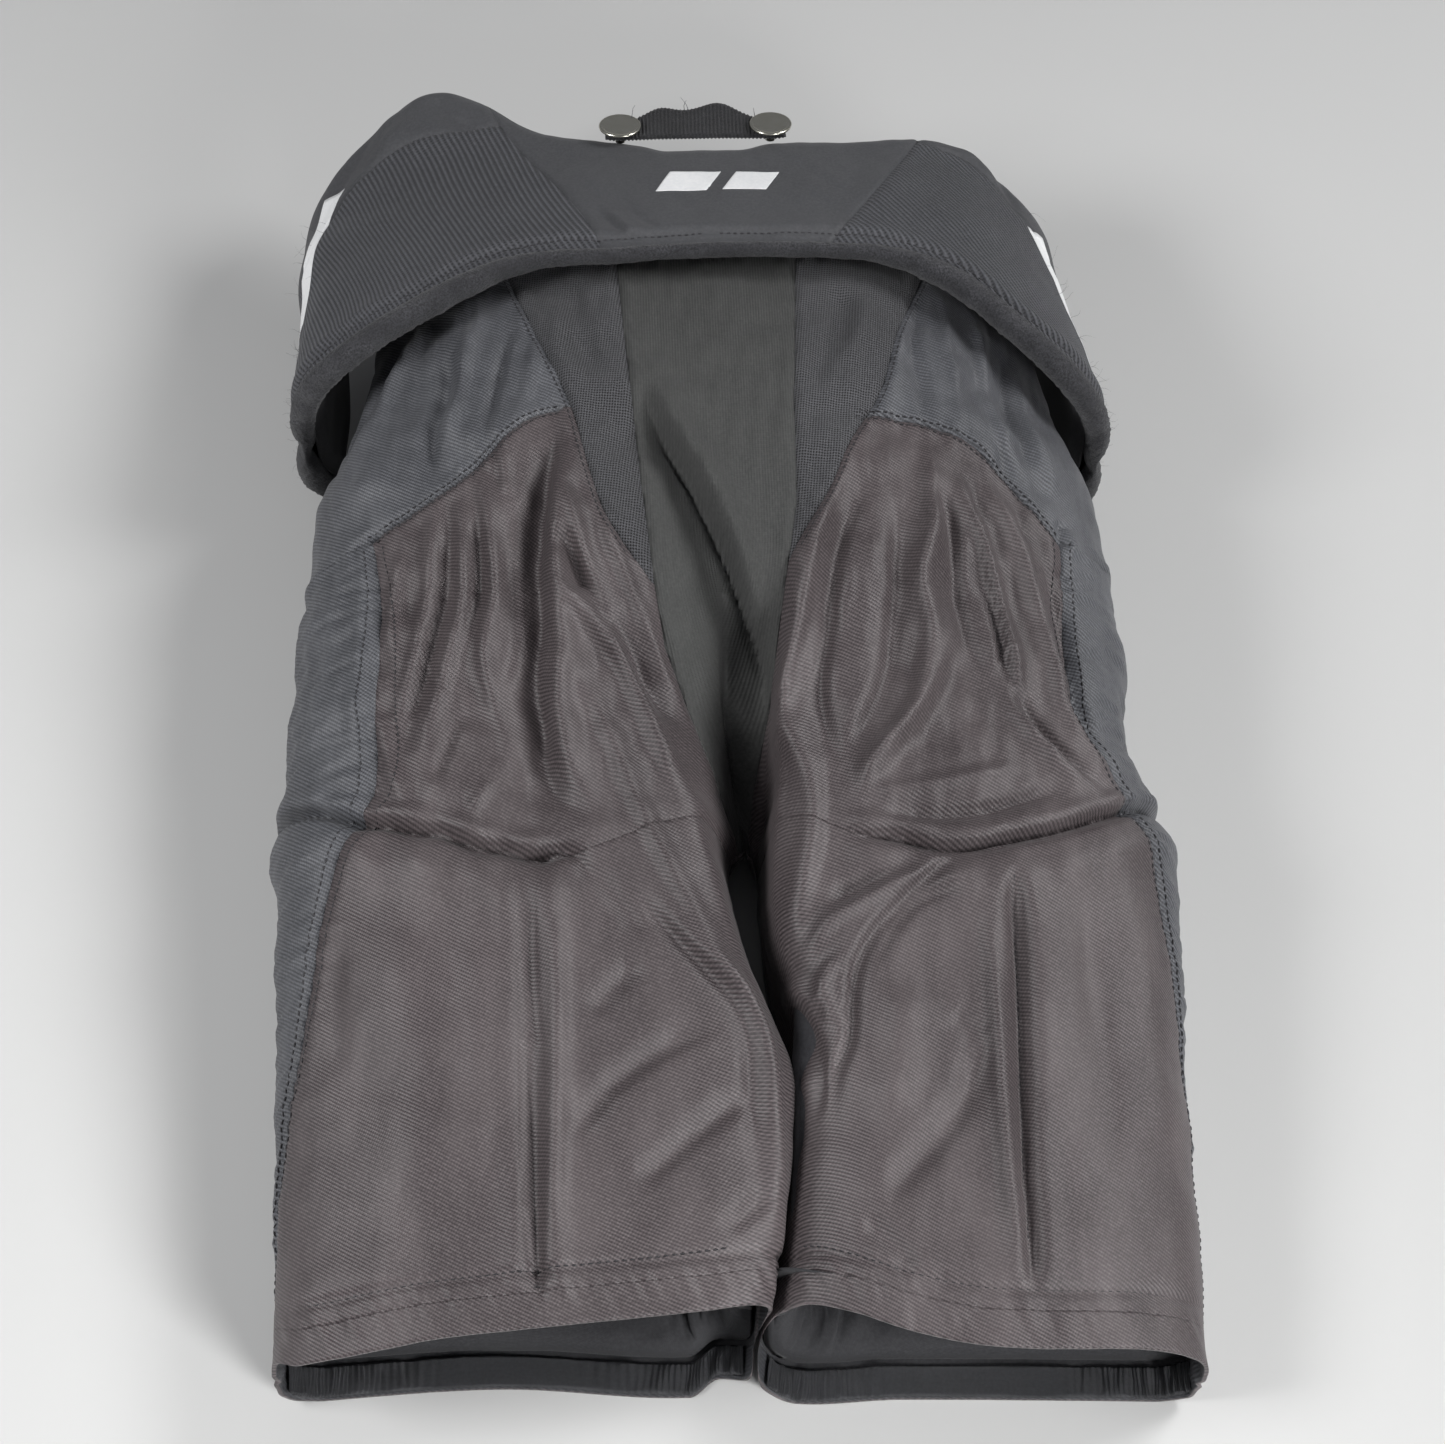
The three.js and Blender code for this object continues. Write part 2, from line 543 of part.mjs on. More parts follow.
const beltTo = WAIST_Y - 2;
const beltFrom = beltTo - BELT_WIDTH;
const BUCKLE_X = BUCKLE_LENGTH / 2;
const beltRing = seatLayer(-GAP - BELT, BELT)
  .intersect(slab(-BEYOND, BEYOND, beltFrom, beltTo, -BEYOND, BEYOND));
const beltEnd = BUCKLE_X - BUCKLE_BAR - 6;
piece("waist_belt", beltRing.subtract(slab(-beltEnd, beltEnd, -BEYOND, BEYOND, -BEYOND, WAIST_LINE)),
  MATERIAL.webbing);

const buckleY = (beltFrom + beltTo) / 2;
const buckleTop = lowAt(beltFrom) - GAP - BELT - BUCKLE_CLEARANCE;
const buckleBottom = buckleTop - BUCKLE_THICKNESS;
const frameHalfY = BELT_WIDTH / 2 + BUCKLE_BAR;
const pinX = -BUCKLE_X + BUCKLE_BAR + 3 + BUCKLE_PIN_RADIUS;
const pinZ = (buckleTop + buckleBottom) / 2;

function rodAlongY(radius, x, y0, y1, z, sides) {
  const rod = new THREE.CylinderGeometry(radius, radius, y1 - y0, sides);
  return rod.translate(x, (y0 + y1) / 2, z);
}

const window = slab(-BUCKLE_X + BUCKLE_BAR, BUCKLE_X - BUCKLE_BAR, buckleY - BELT_WIDTH / 2,
  buckleY + BELT_WIDTH / 2, -BEYOND, BEYOND);
const pinBore = solidOf(rodAlongY(BUCKLE_PIN_RADIUS + 0.35, pinX, buckleY - frameHalfY - 1,
  buckleY + frameHalfY + 1, pinZ, 12));
const buckleBlock = slab(-BUCKLE_X, BUCKLE_X, buckleY - frameHalfY, buckleY + frameHalfY,
  buckleBottom, buckleTop);
piece("buckle_frame", buckleBlock.subtract(window).subtract(pinBore), MATERIAL.plastic);
piece("buckle_pin", rodAlongY(BUCKLE_PIN_RADIUS, pinX, buckleY - frameHalfY, buckleY + frameHalfY, pinZ, 12),
  MATERIAL.steel);

const leverHalfY = BELT_WIDTH / 2 - 0.8;
const knuckle = solidOf(rodAlongY(BUCKLE_THICKNESS / 2, pinX, buckleY - leverHalfY,
  buckleY + leverHalfY, pinZ, 16));
const leverPlate = slab(pinX, BUCKLE_X - BUCKLE_BAR - 2, buckleY - leverHalfY, buckleY + leverHalfY,
  pinZ - BUCKLE_LEVER / 2, pinZ + BUCKLE_LEVER / 2);
piece("buckle_lever", knuckle.add(leverPlate).subtract(pinBore), MATERIAL.plastic);

// ---------------------------------------------------------------- kidney guard

// The guard's free edge and its waist edge: distance round the body from the middle, and y there.
const GUARD_LOW = [[0, 160], [40, 158], [80, 146], [115, 130], [145, 120], [160, 118]];
const GUARD_HIGH = [[0, 239], [40, 239], [80, 247], [105, 254], [130, 240], [160, 216]];
const GUARD_ARC_END = 160;
const GUARD_COLUMNS = 10; // on each half
const GUARD_ROWS = 4;
const GUARD_SIDE_END = gz(30); // the wings end this high above the surface
const GUARD_LOW_STEEPEST = gy(0.66) / gx(1); // slope of the free edge where it is steepest

function table(rows, s) {
  const i = Math.max(1, rows.findIndex(([k]) => k >= s));
  const [[s0, v0], [s1, v1]] = [rows[i - 1], rows[i]];
  const t = THREE.MathUtils.smoothstep(s, s0, s1) * 0.5 + (0.5 * (s - s0)) / (s1 - s0);
  return v0 + (v1 - v0) * t;
}

function standoffAt(y, share) {
  const nearWaist = THREE.MathUtils.clamp((y - gy(120)) / (WAIST_Y - gy(120)), 0, 1);
  return GUARD_STANDOFF_FREE - (GUARD_STANDOFF_FREE - GUARD_STANDOFF_HINGE) * nearWaist * (1 - share ** 2);
}

// A point of the guard's outer surface pulled in by depth. Share is 0 at the middle and 1 at a wing's end.
function guardPoint(y, share, depth) {
  const out = standoffAt(y, share) + GUARD_THICKNESS - depth;
  const mid = midAt(y);
  const low = Math.asin((mid - GUARD_SIDE_END) / (mid - lowAt(y) + out));
  const turn = Math.PI / 2 + low * 1.2;
  const angle = Math.PI / 2 - Math.abs(share) * turn;
  const rise = angle > 0 ? topAt(y) - mid : mid - lowAt(y) + FLATTENED;
  const exponent = angle > 0 ? CORNER_TOP : CORNER_LOW;
  const [x, z] = superPoint(0, mid, halfWidthAt(y) + out, rise + out, exponent, angle);
  return new THREE.Vector3(Math.sign(share) * x, y, z);
}

function guardLayer(depth, thickness) {
  const shares = [];
  for (let i = -GUARD_COLUMNS; i <= GUARD_COLUMNS; i++) shares.push(i / GUARD_COLUMNS);
  const grid = (d) => {
    const rows = [];
    for (let r = 0; r <= GUARD_ROWS; r++) {
      rows.push(shares.map((s) => {
        const arc = Math.abs(s) * GUARD_ARC_END;
        const low = gy(table(GUARD_LOW, arc));
        const high = gy(table(GUARD_HIGH, arc));
        return guardPoint(low + ((high - low) * r) / GUARD_ROWS, s, d);
      }));
    }
    return rows;
  };
  return sheet(grid(depth), grid(depth + thickness), false);
}

const GUARD_SEAM = [[45, 100], [45, 160], [76, 236], [84, 270]].map(([x, y]) => [gx(x), gy(y)]);
const guardCover = guardLayer(0, GUARD_COVER);
const guardMiddle = shifted(GUARD_SEAM, -half);
const guardMiddleOutline = [...guardMiddle, ...guardMiddle.toReversed().map(([x, y]) => [-x, y])];
const buttonX = BUTTON_SPACING / 2;
const BUTTON_Y = gy(239) - 6;
const NOTCH_Y = BUTTON_Y - LOOP_WIDTH / 2 + LOOP_BOW - LOOP_FINGER_GAP;
const notch = slab(-LOOP_NOTCH / 2, LOOP_NOTCH / 2, NOTCH_Y, BEYOND, WAIST_LINE, BEYOND);
const guardTopAtButton = guardPoint(BUTTON_Y, 0, 0).z;
const buttonPlace = new THREE.Matrix4()
  .makeTranslation(0, BUTTON_Y, guardTopAtButton + 0.7)
  .multiply(new THREE.Matrix4().makeRotationX(THREE.MathUtils.degToRad(-BUTTON_TILT)));

function rod(radius, x, z0, z1, sides) {
  const cylinder = new THREE.CylinderGeometry(radius, radius, z1 - z0, sides).rotateX(Math.PI / 2);
  return cylinder.translate(x, 0, (z0 + z1) / 2).applyMatrix4(buttonPlace);
}

const shankHole = (x) => solidOf(rod(BUTTON_SHANK_RADIUS + SHANK_CLEARANCE, x, -6, 6, 12));
piece("guard_center_cover", guardCover.intersect(planPrism(guardMiddleOutline)).subtract(notch)
  .subtract(shankHole(buttonX)).subtract(shankHole(-buttonX)), MATERIAL.cover);
pair("guard_wing_cover", guardCover.intersect(planPrism(besideCurve(shifted(GUARD_SEAM, half), BEYOND))),
  MATERIAL.cover);

const guardPlateDepth = GUARD_COVER + GAP;
const guardFoamDepth = guardPlateDepth + PLATE + GAP;
const SPINE_PAD_X = gx(40);
const spineRegion = (grow) =>
  slab(-SPINE_PAD_X - grow, SPINE_PAD_X + grow, gy(166) - grow, NOTCH_Y - 3, WAIST_LINE, BEYOND);
piece("spine_guard_plate", guardLayer(guardPlateDepth, PLATE).intersect(spineRegion(0)), MATERIAL.plastic);
const guardFoam = guardLayer(guardFoamDepth, GUARD_FOAM);
piece("spine_guard_foam", guardFoam.intersect(spineRegion(4)), MATERIAL.foam);
pair("kidney_foam", guardLayer(guardPlateDepth, PLATE + GAP + GUARD_FOAM)
  .intersect(slab(SPINE_PAD_X + 7, BEYOND, -BEYOND, BEYOND, GUARD_SIDE_END + 6, BEYOND)), MATERIAL.foam);
const guardLiningDepth = guardFoamDepth + GUARD_FOAM + GAP;
piece("guard_lining", guardLayer(guardLiningDepth, GUARD_LINING).subtract(notch), MATERIAL.lining);

// The padded roll runs below the free edge, from one wing's end to the other, clear of it where it is steepest.
const ROLL_BELOW_EDGE = (GUARD_EDGE_RADIUS + GAP) * Math.hypot(1, GUARD_LOW_STEEPEST);
class FreeEdge extends THREE.Curve {
  getPoint(t, target = new THREE.Vector3()) {
    const share = 2 * t - 1;
    const y = gy(table(GUARD_LOW, Math.abs(share) * GUARD_ARC_END)) - ROLL_BELOW_EDGE;
    return target.copy(guardPoint(y, share || 1e-6, GUARD_THICKNESS / 2));
  }
}
const edgeSection = new THREE.Shape();
edgeSection.absarc(0, 0, GUARD_EDGE_RADIUS, 0, 2 * Math.PI);
piece("guard_edge_roll", new THREE.ExtrudeGeometry(edgeSection, {
  steps: 32,
  curveSegments: 4,
  extrudePath: new FreeEdge(),
}), MATERIAL.cover);

// ---------------------------------------------------------------- suspender buttons and their loop

const loopShape = new THREE.Shape();
const loopEnd = LOOP_WIDTH / 2;
loopShape.moveTo(-buttonX - loopEnd, -loopEnd);
loopShape.lineTo(-buttonX, -loopEnd);
loopShape.quadraticCurveTo(0, 2 * LOOP_BOW - loopEnd, buttonX, -loopEnd);
loopShape.lineTo(buttonX + loopEnd, -loopEnd);
loopShape.lineTo(buttonX + loopEnd, loopEnd);
loopShape.lineTo(buttonX, loopEnd);
loopShape.quadraticCurveTo(0, 2 * LOOP_BOW + loopEnd, -buttonX, loopEnd);
loopShape.lineTo(-buttonX - loopEnd, loopEnd);
const loopBand = new THREE.ExtrudeGeometry(loopShape, { depth: LOOP, bevelEnabled: false, curveSegments: 8 });
const loopSolid = solidOf(loopBand.applyMatrix4(buttonPlace));
piece("suspender_loop", loopSolid.subtract(shankHole(buttonX)).subtract(shankHole(-buttonX)),
  MATERIAL.webbing);

const headBase = LOOP + 0.4;
const buttonProfile = [
  [0, -GUARD_COVER - 0.4],
  [BUTTON_SHANK_RADIUS, -GUARD_COVER - 0.4],
  [BUTTON_SHANK_RADIUS, headBase],
  [BUTTON_RADIUS - 0.5, headBase],
  [BUTTON_RADIUS, headBase + BUTTON_HEAD * 0.4],
  [BUTTON_RADIUS - 0.8, headBase + BUTTON_HEAD * 0.85],
  [BUTTON_RADIUS * 0.7, headBase + BUTTON_HEAD],
  [0, headBase + BUTTON_HEAD],
];
for (const [side, x] of [["right", buttonX], ["left", -buttonX]]) {
  piece(side + "_suspender_button",
    ring(buttonProfile, 20).translate(x, 0, 0).applyMatrix4(buttonPlace), MATERIAL.steel);
}

export default pants;
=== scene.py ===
"""Looks of the padded ice hockey pants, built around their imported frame. Shapes are in millimetres."""

import math

import bpy
import numpy as np
from mathutils import Matrix, Vector


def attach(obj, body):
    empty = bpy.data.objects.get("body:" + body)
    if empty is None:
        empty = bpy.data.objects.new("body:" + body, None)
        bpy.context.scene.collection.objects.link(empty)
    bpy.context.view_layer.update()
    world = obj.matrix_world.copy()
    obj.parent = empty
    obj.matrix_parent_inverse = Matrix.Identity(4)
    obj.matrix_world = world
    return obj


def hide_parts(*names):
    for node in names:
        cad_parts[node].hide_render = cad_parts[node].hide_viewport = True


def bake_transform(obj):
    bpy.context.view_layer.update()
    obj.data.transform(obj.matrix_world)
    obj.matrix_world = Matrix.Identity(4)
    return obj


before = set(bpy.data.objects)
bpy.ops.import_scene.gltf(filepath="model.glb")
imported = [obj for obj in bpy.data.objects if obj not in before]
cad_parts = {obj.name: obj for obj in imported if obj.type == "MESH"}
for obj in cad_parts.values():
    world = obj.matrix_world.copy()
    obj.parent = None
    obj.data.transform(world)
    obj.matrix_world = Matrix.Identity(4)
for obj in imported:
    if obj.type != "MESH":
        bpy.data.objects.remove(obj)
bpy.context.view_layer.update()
MM = 0.001
RIGHT, LEFT = 1, -1
SIDE_NAME = {RIGHT: "right", LEFT: "left"}
rng = np.random.default_rng(7)

# ---------------------------------------------------------------- camera, lights, floor

AIM = Vector((2.7, -7.0, 45.0)) * MM
AZIMUTH, ELEVATION, DISTANCE, ROLL = math.radians(-4.4), math.radians(58.8), 1.1276, math.radians(2.5)
FIELD_OF_VIEW = math.radians(27)


def make_camera():
    """The camera stands at the foot of the pants and looks down on them, a little rolled."""
    camera = bpy.data.objects.new("camera", bpy.data.cameras.new("camera"))
    bpy.context.scene.collection.objects.link(camera)
    back = Vector((math.sin(AZIMUTH) * math.cos(ELEVATION), -math.cos(AZIMUTH) * math.cos(ELEVATION),
                   math.sin(ELEVATION)))
    right = Vector((math.cos(AZIMUTH), math.sin(AZIMUTH), 0))
    up = back.cross(right)
    x = right * math.cos(ROLL) + up * math.sin(ROLL)
    y = up * math.cos(ROLL) - right * math.sin(ROLL)
    turn = Matrix((x, y, back)).transposed().to_4x4()
    camera.matrix_world = Matrix.Translation(AIM + back * DISTANCE) @ turn
    camera.data.sensor_width = 36
    camera.data.lens = 18 / math.tan(FIELD_OF_VIEW / 2)
    bpy.context.scene.camera = camera


def area_light(name, place, aim, size, watts, spread=180):
    light = bpy.data.lights.new(name, "AREA")
    light.spread = math.radians(spread)
    light.shape = "DISK"
    light.size, light.energy = size, watts
    lamp = bpy.data.objects.new(name, light)
    bpy.context.scene.collection.objects.link(lamp)
    lamp.location = place
    lamp.rotation_euler = (Vector(aim) - Vector(place)).to_track_quat("-Z", "Y").to_euler()


def make_studio():
    """A pale floor, a weak even world and three soft lights."""
    bpy.ops.mesh.primitive_plane_add(size=12)
    floor = bpy.context.object
    floor.name = "floor"
    material = bpy.data.materials.new("floor")
    material.use_nodes = True
    shader = material.node_tree.nodes["Principled BSDF"]
    shader.inputs["Base Color"].default_value = (0.56, 0.56, 0.555, 1)
    shader.inputs["Roughness"].default_value = 0.9
    floor.data.materials.append(material)
    world = bpy.data.worlds.new("world")
    bpy.context.scene.world = world
    world.use_nodes = True
    world.node_tree.nodes["Background"].inputs["Color"].default_value = (0.93, 0.95, 1.0, 1)
    world.node_tree.nodes["Background"].inputs["Strength"].default_value = 0.17
    area_light("key", (0.85, 0.22, 0.92), (0, -0.05, 0.05), 0.45, 9.5)
    area_light("left", (-0.95, -0.25, 0.95), (-0.1, -0.15, 0.05), 0.5, 11)
    area_light("front", (0.7, -1.2, 0.7), (0.0, -0.72, 0), 0.6, 6, 80)
    bpy.context.scene.view_settings.view_transform = "Standard"


# ---------------------------------------------------------------- curves and tables

def between(ends, share):
    """The value at that share of the way from one end to the other."""
    return ends[0] + (ends[1] - ends[0]) * share


def smoothstep(x, low, high):
    t = np.clip((np.asarray(x, float) - low) / (high - low), 0, 1)
    return t * t * (3 - 2 * t)


def smooth_table(points):
    """A smooth function through [where, value] pairs, flat beyond its ends."""
    xs, vs = np.array(sorted(points), float).T

    def value(x):
        x = np.clip(np.asarray(x, float), xs[0], xs[-1])
        i = np.clip(np.searchsorted(xs, x, side="right") - 1, 0, len(xs) - 2)
        before, after = np.maximum(i - 1, 0), np.minimum(i + 2, len(xs) - 1)
        h = xs[i + 1] - xs[i]
        t = (x - xs[i]) / h
        m1 = (vs[i + 1] - vs[before]) / (xs[i + 1] - xs[before]) * h
        m2 = (vs[after] - vs[i]) / (xs[after] - xs[i]) * h
        return ((2 * t**3 - 3 * t**2 + 1) * vs[i] + (t**3 - 2 * t**2 + t) * m1
                + (3 * t**2 - 2 * t**3) * vs[i + 1] + (t**3 - t**2) * m2)
    return value


def straight_table(points):
    xs, vs = np.array(sorted(points), float).T
    return lambda x: np.interp(x, xs, vs)


def per_side(right, left, table=smooth_table):
    """A table for each side."""
    return {RIGHT: table(right), LEFT: table(left)}


def passed_along(points):
    """Distance from the first point to each point of a line."""
    return np.concatenate([[0], np.cumsum(np.linalg.norm(np.diff(points, axis=0), axis=1))])


def grid_of(rows, columns):
    """Rows and columns of numbers from 0 to 1."""
    return np.meshgrid(np.linspace(0, 1, rows), np.linspace(0, 1, columns), indexing="ij")


def grid_quads(rows, columns):
    """The four corners of each cell of a grid of points."""
    index = np.arange(rows * columns).reshape(rows, columns)
    return np.stack([index[:-1, :-1], index[:-1, 1:], index[1:, 1:], index[1:, :-1]], -1).reshape(-1, 4)


def grid_triangles(rows, columns):
    """The same cells, cut into triangles."""
    quads = grid_quads(rows, columns)
    return np.concatenate([quads[:, :3], quads[:, (0, 2, 3)]])


WAVE_COUNT = 6


def waves(x, y, length, seed):
    """A smooth random field of about unit height, with waves of about that length in millimetres."""
    draw = np.random.default_rng(seed)
    total = 0
    for _ in range(WAVE_COUNT):
        angle, phase = draw.uniform(0, 2 * math.pi, 2)
        k = 2 * math.pi / (length * draw.uniform(0.7, 1.5))
        total = total + np.sin(k * (x * math.cos(angle) + y * math.sin(angle)) + phase)
    return total / math.sqrt(WAVE_COUNT)


def away(x, y, line):
    """Distance to a plan line, the side it is on (+1 on its left), and the share of the line passed."""
    line = np.array(line, float)
    lengths = np.hypot(*np.diff(line, axis=0).T)
    passed = np.concatenate([[0], np.cumsum(lengths)])
    best = np.full(np.shape(x), 1e9)
    side = np.zeros(np.shape(x))
    share = np.zeros(np.shape(x))
    for (x0, y0), (x1, y1), start, length in zip(line[:-1], line[1:], passed, lengths):
        dx, dy = (x1 - x0) / length, (y1 - y0) / length
        along = np.clip((x - x0) * dx + (y - y0) * dy, 0, length)
        ox, oy = x - x0 - along * dx, y - y0 - along * dy
        d = np.hypot(ox, oy)
        nearer = d < best
        best = np.where(nearer, d, best)
        side = np.where(nearer, np.sign(dx * oy - dy * ox), side)
        share = np.where(nearer, (start + along) / passed[-1], share)
    return best, side, share


ROUNDED_STEP = 4


def rounded(line):
    """The line with its corners rounded, by a smooth curve through its points."""
    line = np.array(line, float)
    if len(line) < 3:
        return line
    passed = passed_along(line)
    at = np.linspace(0, passed[-1], max(3, int(passed[-1] / ROUNDED_STEP)))
    return np.stack([smooth_table(zip(passed, line[:, k]))(at) for k in (0, 1)], axis=1)


# A fold ends this many widths off its line, and fades over these shares at its ends.
FOLD_REACH, FOLD_ENDS = 3, (-0.02, 0.25)


def fold(x, y, line, height, left, right):
    """A ridge, or with a negative height a crease, along a plan line, with its own width on either side."""
    line = np.array(line, float)
    reach = FOLD_REACH * max(left, right)
    (x0, y0), (x1, y1) = line.min(0) - reach, line.max(0) + reach
    near = (x > x0) & (x < x1) & (y > y0) & (y < y1)
    out = np.zeros(np.shape(x))
    if near.any():
        d, side, share = away(x[near], y[near], rounded(line))
        width = np.where(side > 0, left, right)
        fade = smoothstep(share, *FOLD_ENDS) * smoothstep(1 - share, *FOLD_ENDS)
        out[near] = height * np.exp(-((d / width) ** 2)) * fade
    return out


# ---------------------------------------------------------------- the shell's shape

# Stations along the pants: y, half width, top, widest height, underside.
STATIONS = np.array([
    [-250, 158, 58, 24, 0], [-150, 158, 68, 28, 0], [-60, 160, 84, 34, 0], [0, 158, 99, 42, 0],
    [60, 151, 109, 48, 0], [110, 142, 111, 50, 1.5], [150, 134, 107, 50, 3.5], [190, 124, 98, 49, 7],
    [228, 108, 88, 47, 11], [262, 98, 80, 46, 13]], float)
HALF_WIDTH, TOP, MIDDLE, LOW = (smooth_table(STATIONS[:, (0, k)].tolist()) for k in (1, 2, 3, 4))
HEM, WAIST = -250, 228
CORNER_TOP, CORNER_LOW = 2.6, 4.5
FLATTENED = 3  # the underside is pressed flat this much
THICKNESS = 1.5
WIDEST = 160
LEGS_PART = (-40, 78)  # how far towards the hem the body's oval becomes two legs
OPENING_REACH = 14
LEG_X, JOINT_Y = 80, -58
BLEND_ABOVE, BLEND_BELOW = 20, -120

# The pants lie a little skewed: how far their middle line is off the middle.
SHIFT = smooth_table([(260, 4), (100, 3), (20, 3), (-10, 3), (-50, 9), (-85, 11), (-168, 12), (-220, 8),
                      (-250, 5)])
BULGE = per_side(
    [(120, 0), (49, 0), (0, -4), (-30, -7), (-48, 0), (-75, 5), (-124, 5), (-200, 2), (-250, 0)],
    [(120, 0), (75, 3), (38, 0), (-32, 1), (-60, 0), (-114, 2), (-250, 0)])
# How much further than HEM the back hem reaches, by x, and the front hem.
BACK_HEM = smooth_table([(-160, -5), (-147, 2), (-97, -2), (-47, -6), (-18, -9), (6, -13), (29, -7), (51, 0),
                         (84, 7), (134, 8), (160, 8)])
FRONT_HEM = smooth_table([(-160, 0), (-83, -3), (-17, 2), (-7, -4), (17, 5), (55, 5), (155, 9)])


# How far each leg's inner wall stands off the middle, by y.
OPENING = per_side(
    [(-54, 0), (-66, 3), (-96, 3), (-119, 4), (-140, 2.4), (-152, 0.9), (-250, 0.8)],
    [(-54, 0), (-66, 7), (-90, 7), (-106, 6), (-131, 3), (-150, 1.2), (-180, 0.8), (-250, 0.8)])
# The seat sinks between the thighs: its lowest line, where each slope starts, and how deep it is.
SINK_LINE = smooth_table([(90, 4), (60, 8), (20, 15), (0, 17), (-20, 18), (-43, 17), (-66, 13), (-90, 11),
                          (-125, 13), (-150, 14)])
SINK_START = per_side(
    [(90, 40), (27, 30), (6, 28), (-14, 25), (-43, 22), (-90, 18), (-125, 20), (-150, 22)],
    [(90, -60), (29, -62), (14, -57), (-8, -43), (-29, -29), (-58, -15), (-90, -6), (-125, 2), (-150, 6)])
SINK_DEPTH = smooth_table([(100, 0), (60, 2), (30, 7), (0, 18), (-30, 32), (-60, 38), (-90, 34), (-115, 24),
                           (-140, 10), (-160, 0)])
# The line where the legs' backs meet lies further right than their undersides do.
LEAN = smooth_table([(-90, 0), (-115, 3), (-150, 10), (-205, 10), (-238, 9), (-250, 7)])


def power(value, exponent):
    """The rounding of a superellipse, from a sine or cosine."""
    return np.sign(value) * np.abs(value) ** (2 / exponent)


def on_hem(y):
    """How much of the hem's own line a height along the leg takes on."""
    return smoothstep(-y, 130, 250)


def shell_point(side, y, share, depth=0.0):
    """Points of one half of the shell, share 0 at the top middle and 1 at the bottom middle."""
    half, top, middle, low = HALF_WIDTH(y), TOP(y), MIDDLE(y), np.maximum(0, LOW(y))
    legs = smoothstep(-y, *LEGS_PART)
    up = share < 0.5
    body, leg = np.pi * (0.5 - share), np.pi * (1 - 2 * share)
    rise = np.where(up, top - middle, middle - low + FLATTENED) - depth
    corner = np.where(up, CORNER_TOP, CORNER_LOW)
    body_x = (half - depth) * power(np.cos(body), corner)
    body_z = middle + rise * power(np.sin(body), corner)
    corner = np.where(np.cos(leg) < 0, CORNER_LOW, corner)
    leg_x = half / 2 + (half / 2 - depth) * power(np.cos(leg), corner)
    leg_z = middle + rise * power(np.sin(leg), corner)
    x = side * (body_x + (leg_x - body_x) * legs)
    x = x + side * OPENING[side](y) * np.exp(-((x / OPENING_REACH) ** 2))
    z = np.maximum(low + depth, body_z + (leg_z - body_z) * legs)
    outward_share = np.abs(x) / WIDEST
    x = x + SHIFT(y) * (1 - outward_share) + side * BULGE[side](y) * outward_share ** 3
    on_top = smoothstep(z, 10, 40)
    hem = BACK_HEM(x) * on_top + FRONT_HEM(x) * (1 - on_top)
    return np.stack([x, y - hem * on_hem(y), z], axis=-1)


def sink(x, y):
    """How far the middle of the seat sinks at a plan point."""
    lowest = SINK_LINE(y)
    left = (x - SINK_START[LEFT](y)) / (lowest - SINK_START[LEFT](y))
    right = (SINK_START[RIGHT](y) - x) / (SINK_START[RIGHT](y) - lowest)
    steepness = np.where(x < lowest, 1.3, 0.8)
    return SINK_DEPTH(y) * smoothstep(np.where(x < lowest, left, right), 0, 1) ** steepness


STEP_Y, STEP_SHARE = 0.6, 0.002  # the short ways over which a surface's slope is taken


def normals_of(surface, y, share):
    """Unit normals of a surface of (y, share), which point out on the right half and in on the left."""
    across = surface(y, np.minimum(share + STEP_SHARE, 1)) - surface(y, np.maximum(share - STEP_SHARE, 0))
    along = surface(y + STEP_Y, share) - surface(y - STEP_Y, share)
    n = np.cross(across, along)
    return n / np.maximum(np.linalg.norm(n, axis=-1, keepdims=True), 1e-9)


# ---------------------------------------------------------------- seams, plan lines in millimetres

STRETCH = per_side(
    [(240, 38), (170, 37), (93, 32), (50, 31), (27, 27), (-4, 21), (-30, 14), (-56, 9)],
    [(240, -34), (169, -33), (129, -31), (59, -26), (20, -22), (1, -19), (-26, -7), (-56, 9)], straight_table)
GUSSET = per_side(
    [(240, 104), (170, 89), (130, 74), (99, 65), (75, 52), (54, 43), (34, 31), (25, 26)],
    [(240, -96), (173, -78), (132, -65), (96, -52), (65, -45), (43, -38), (20, -22)])
YOKE = per_side(
    [(40, 84), (60, 88), (71, 87), (86, 83), (98, 77), (112, 64), (118, 56), (130, 43), (160, 42)],
    [(-40, 94), (-52, 94), (-61, 92), (-70, 87), (-89, 69), (-108, 57), (-127, 49), (-150, 44), (-160, 43)])
CROSS = per_side(  # between the soft upper thigh and the stiff block below it
    [(8, -60), (30, -68), (44, -74), (62, -78), (83, -82), (97, -80), (119, -75), (135, -69), (157, -57),
     (165, -54)],
    [(-165, -48), (-158, -50), (-128, -64), (-104, -71), (-85, -77), (-69, -81), (-49, -79), (-20, -68),
     (9, -60)])
SIDE = per_side(  # height of the seam between the thigh's back and its side panel, by y
    [(-260, 18), (-190, 36), (-120, 52), (-85, 62), (-52, 73), (-22, 80), (10, 84), (41, 87)],
    [(-260, 17), (-191, 40), (-158, 49), (-124, 58), (-90, 67), (-64, 76), (-49, 80), (-18, 84), (22, 88),
     (49, 89)])
FRONT_GUSSET = straight_table([(-62, 5), (-20, 16), (50, 20), (95, 13)])
CHANNEL = per_side(
    [(-83, 101), (-131, 100), (-190, 97), (-245, 96)],
    [(-82, -71), (-126, -70), (-200, -69), (-245, -68)])
SIDE_LOW, INSEAM, BAND_Y, CREASE_Y, FLY_HALF, FLY_Y = 12, 27, -238, 50, 7, 95
EYELETS = [(15, 128), (15, 172)]
EYELET_HOLE = 2.6

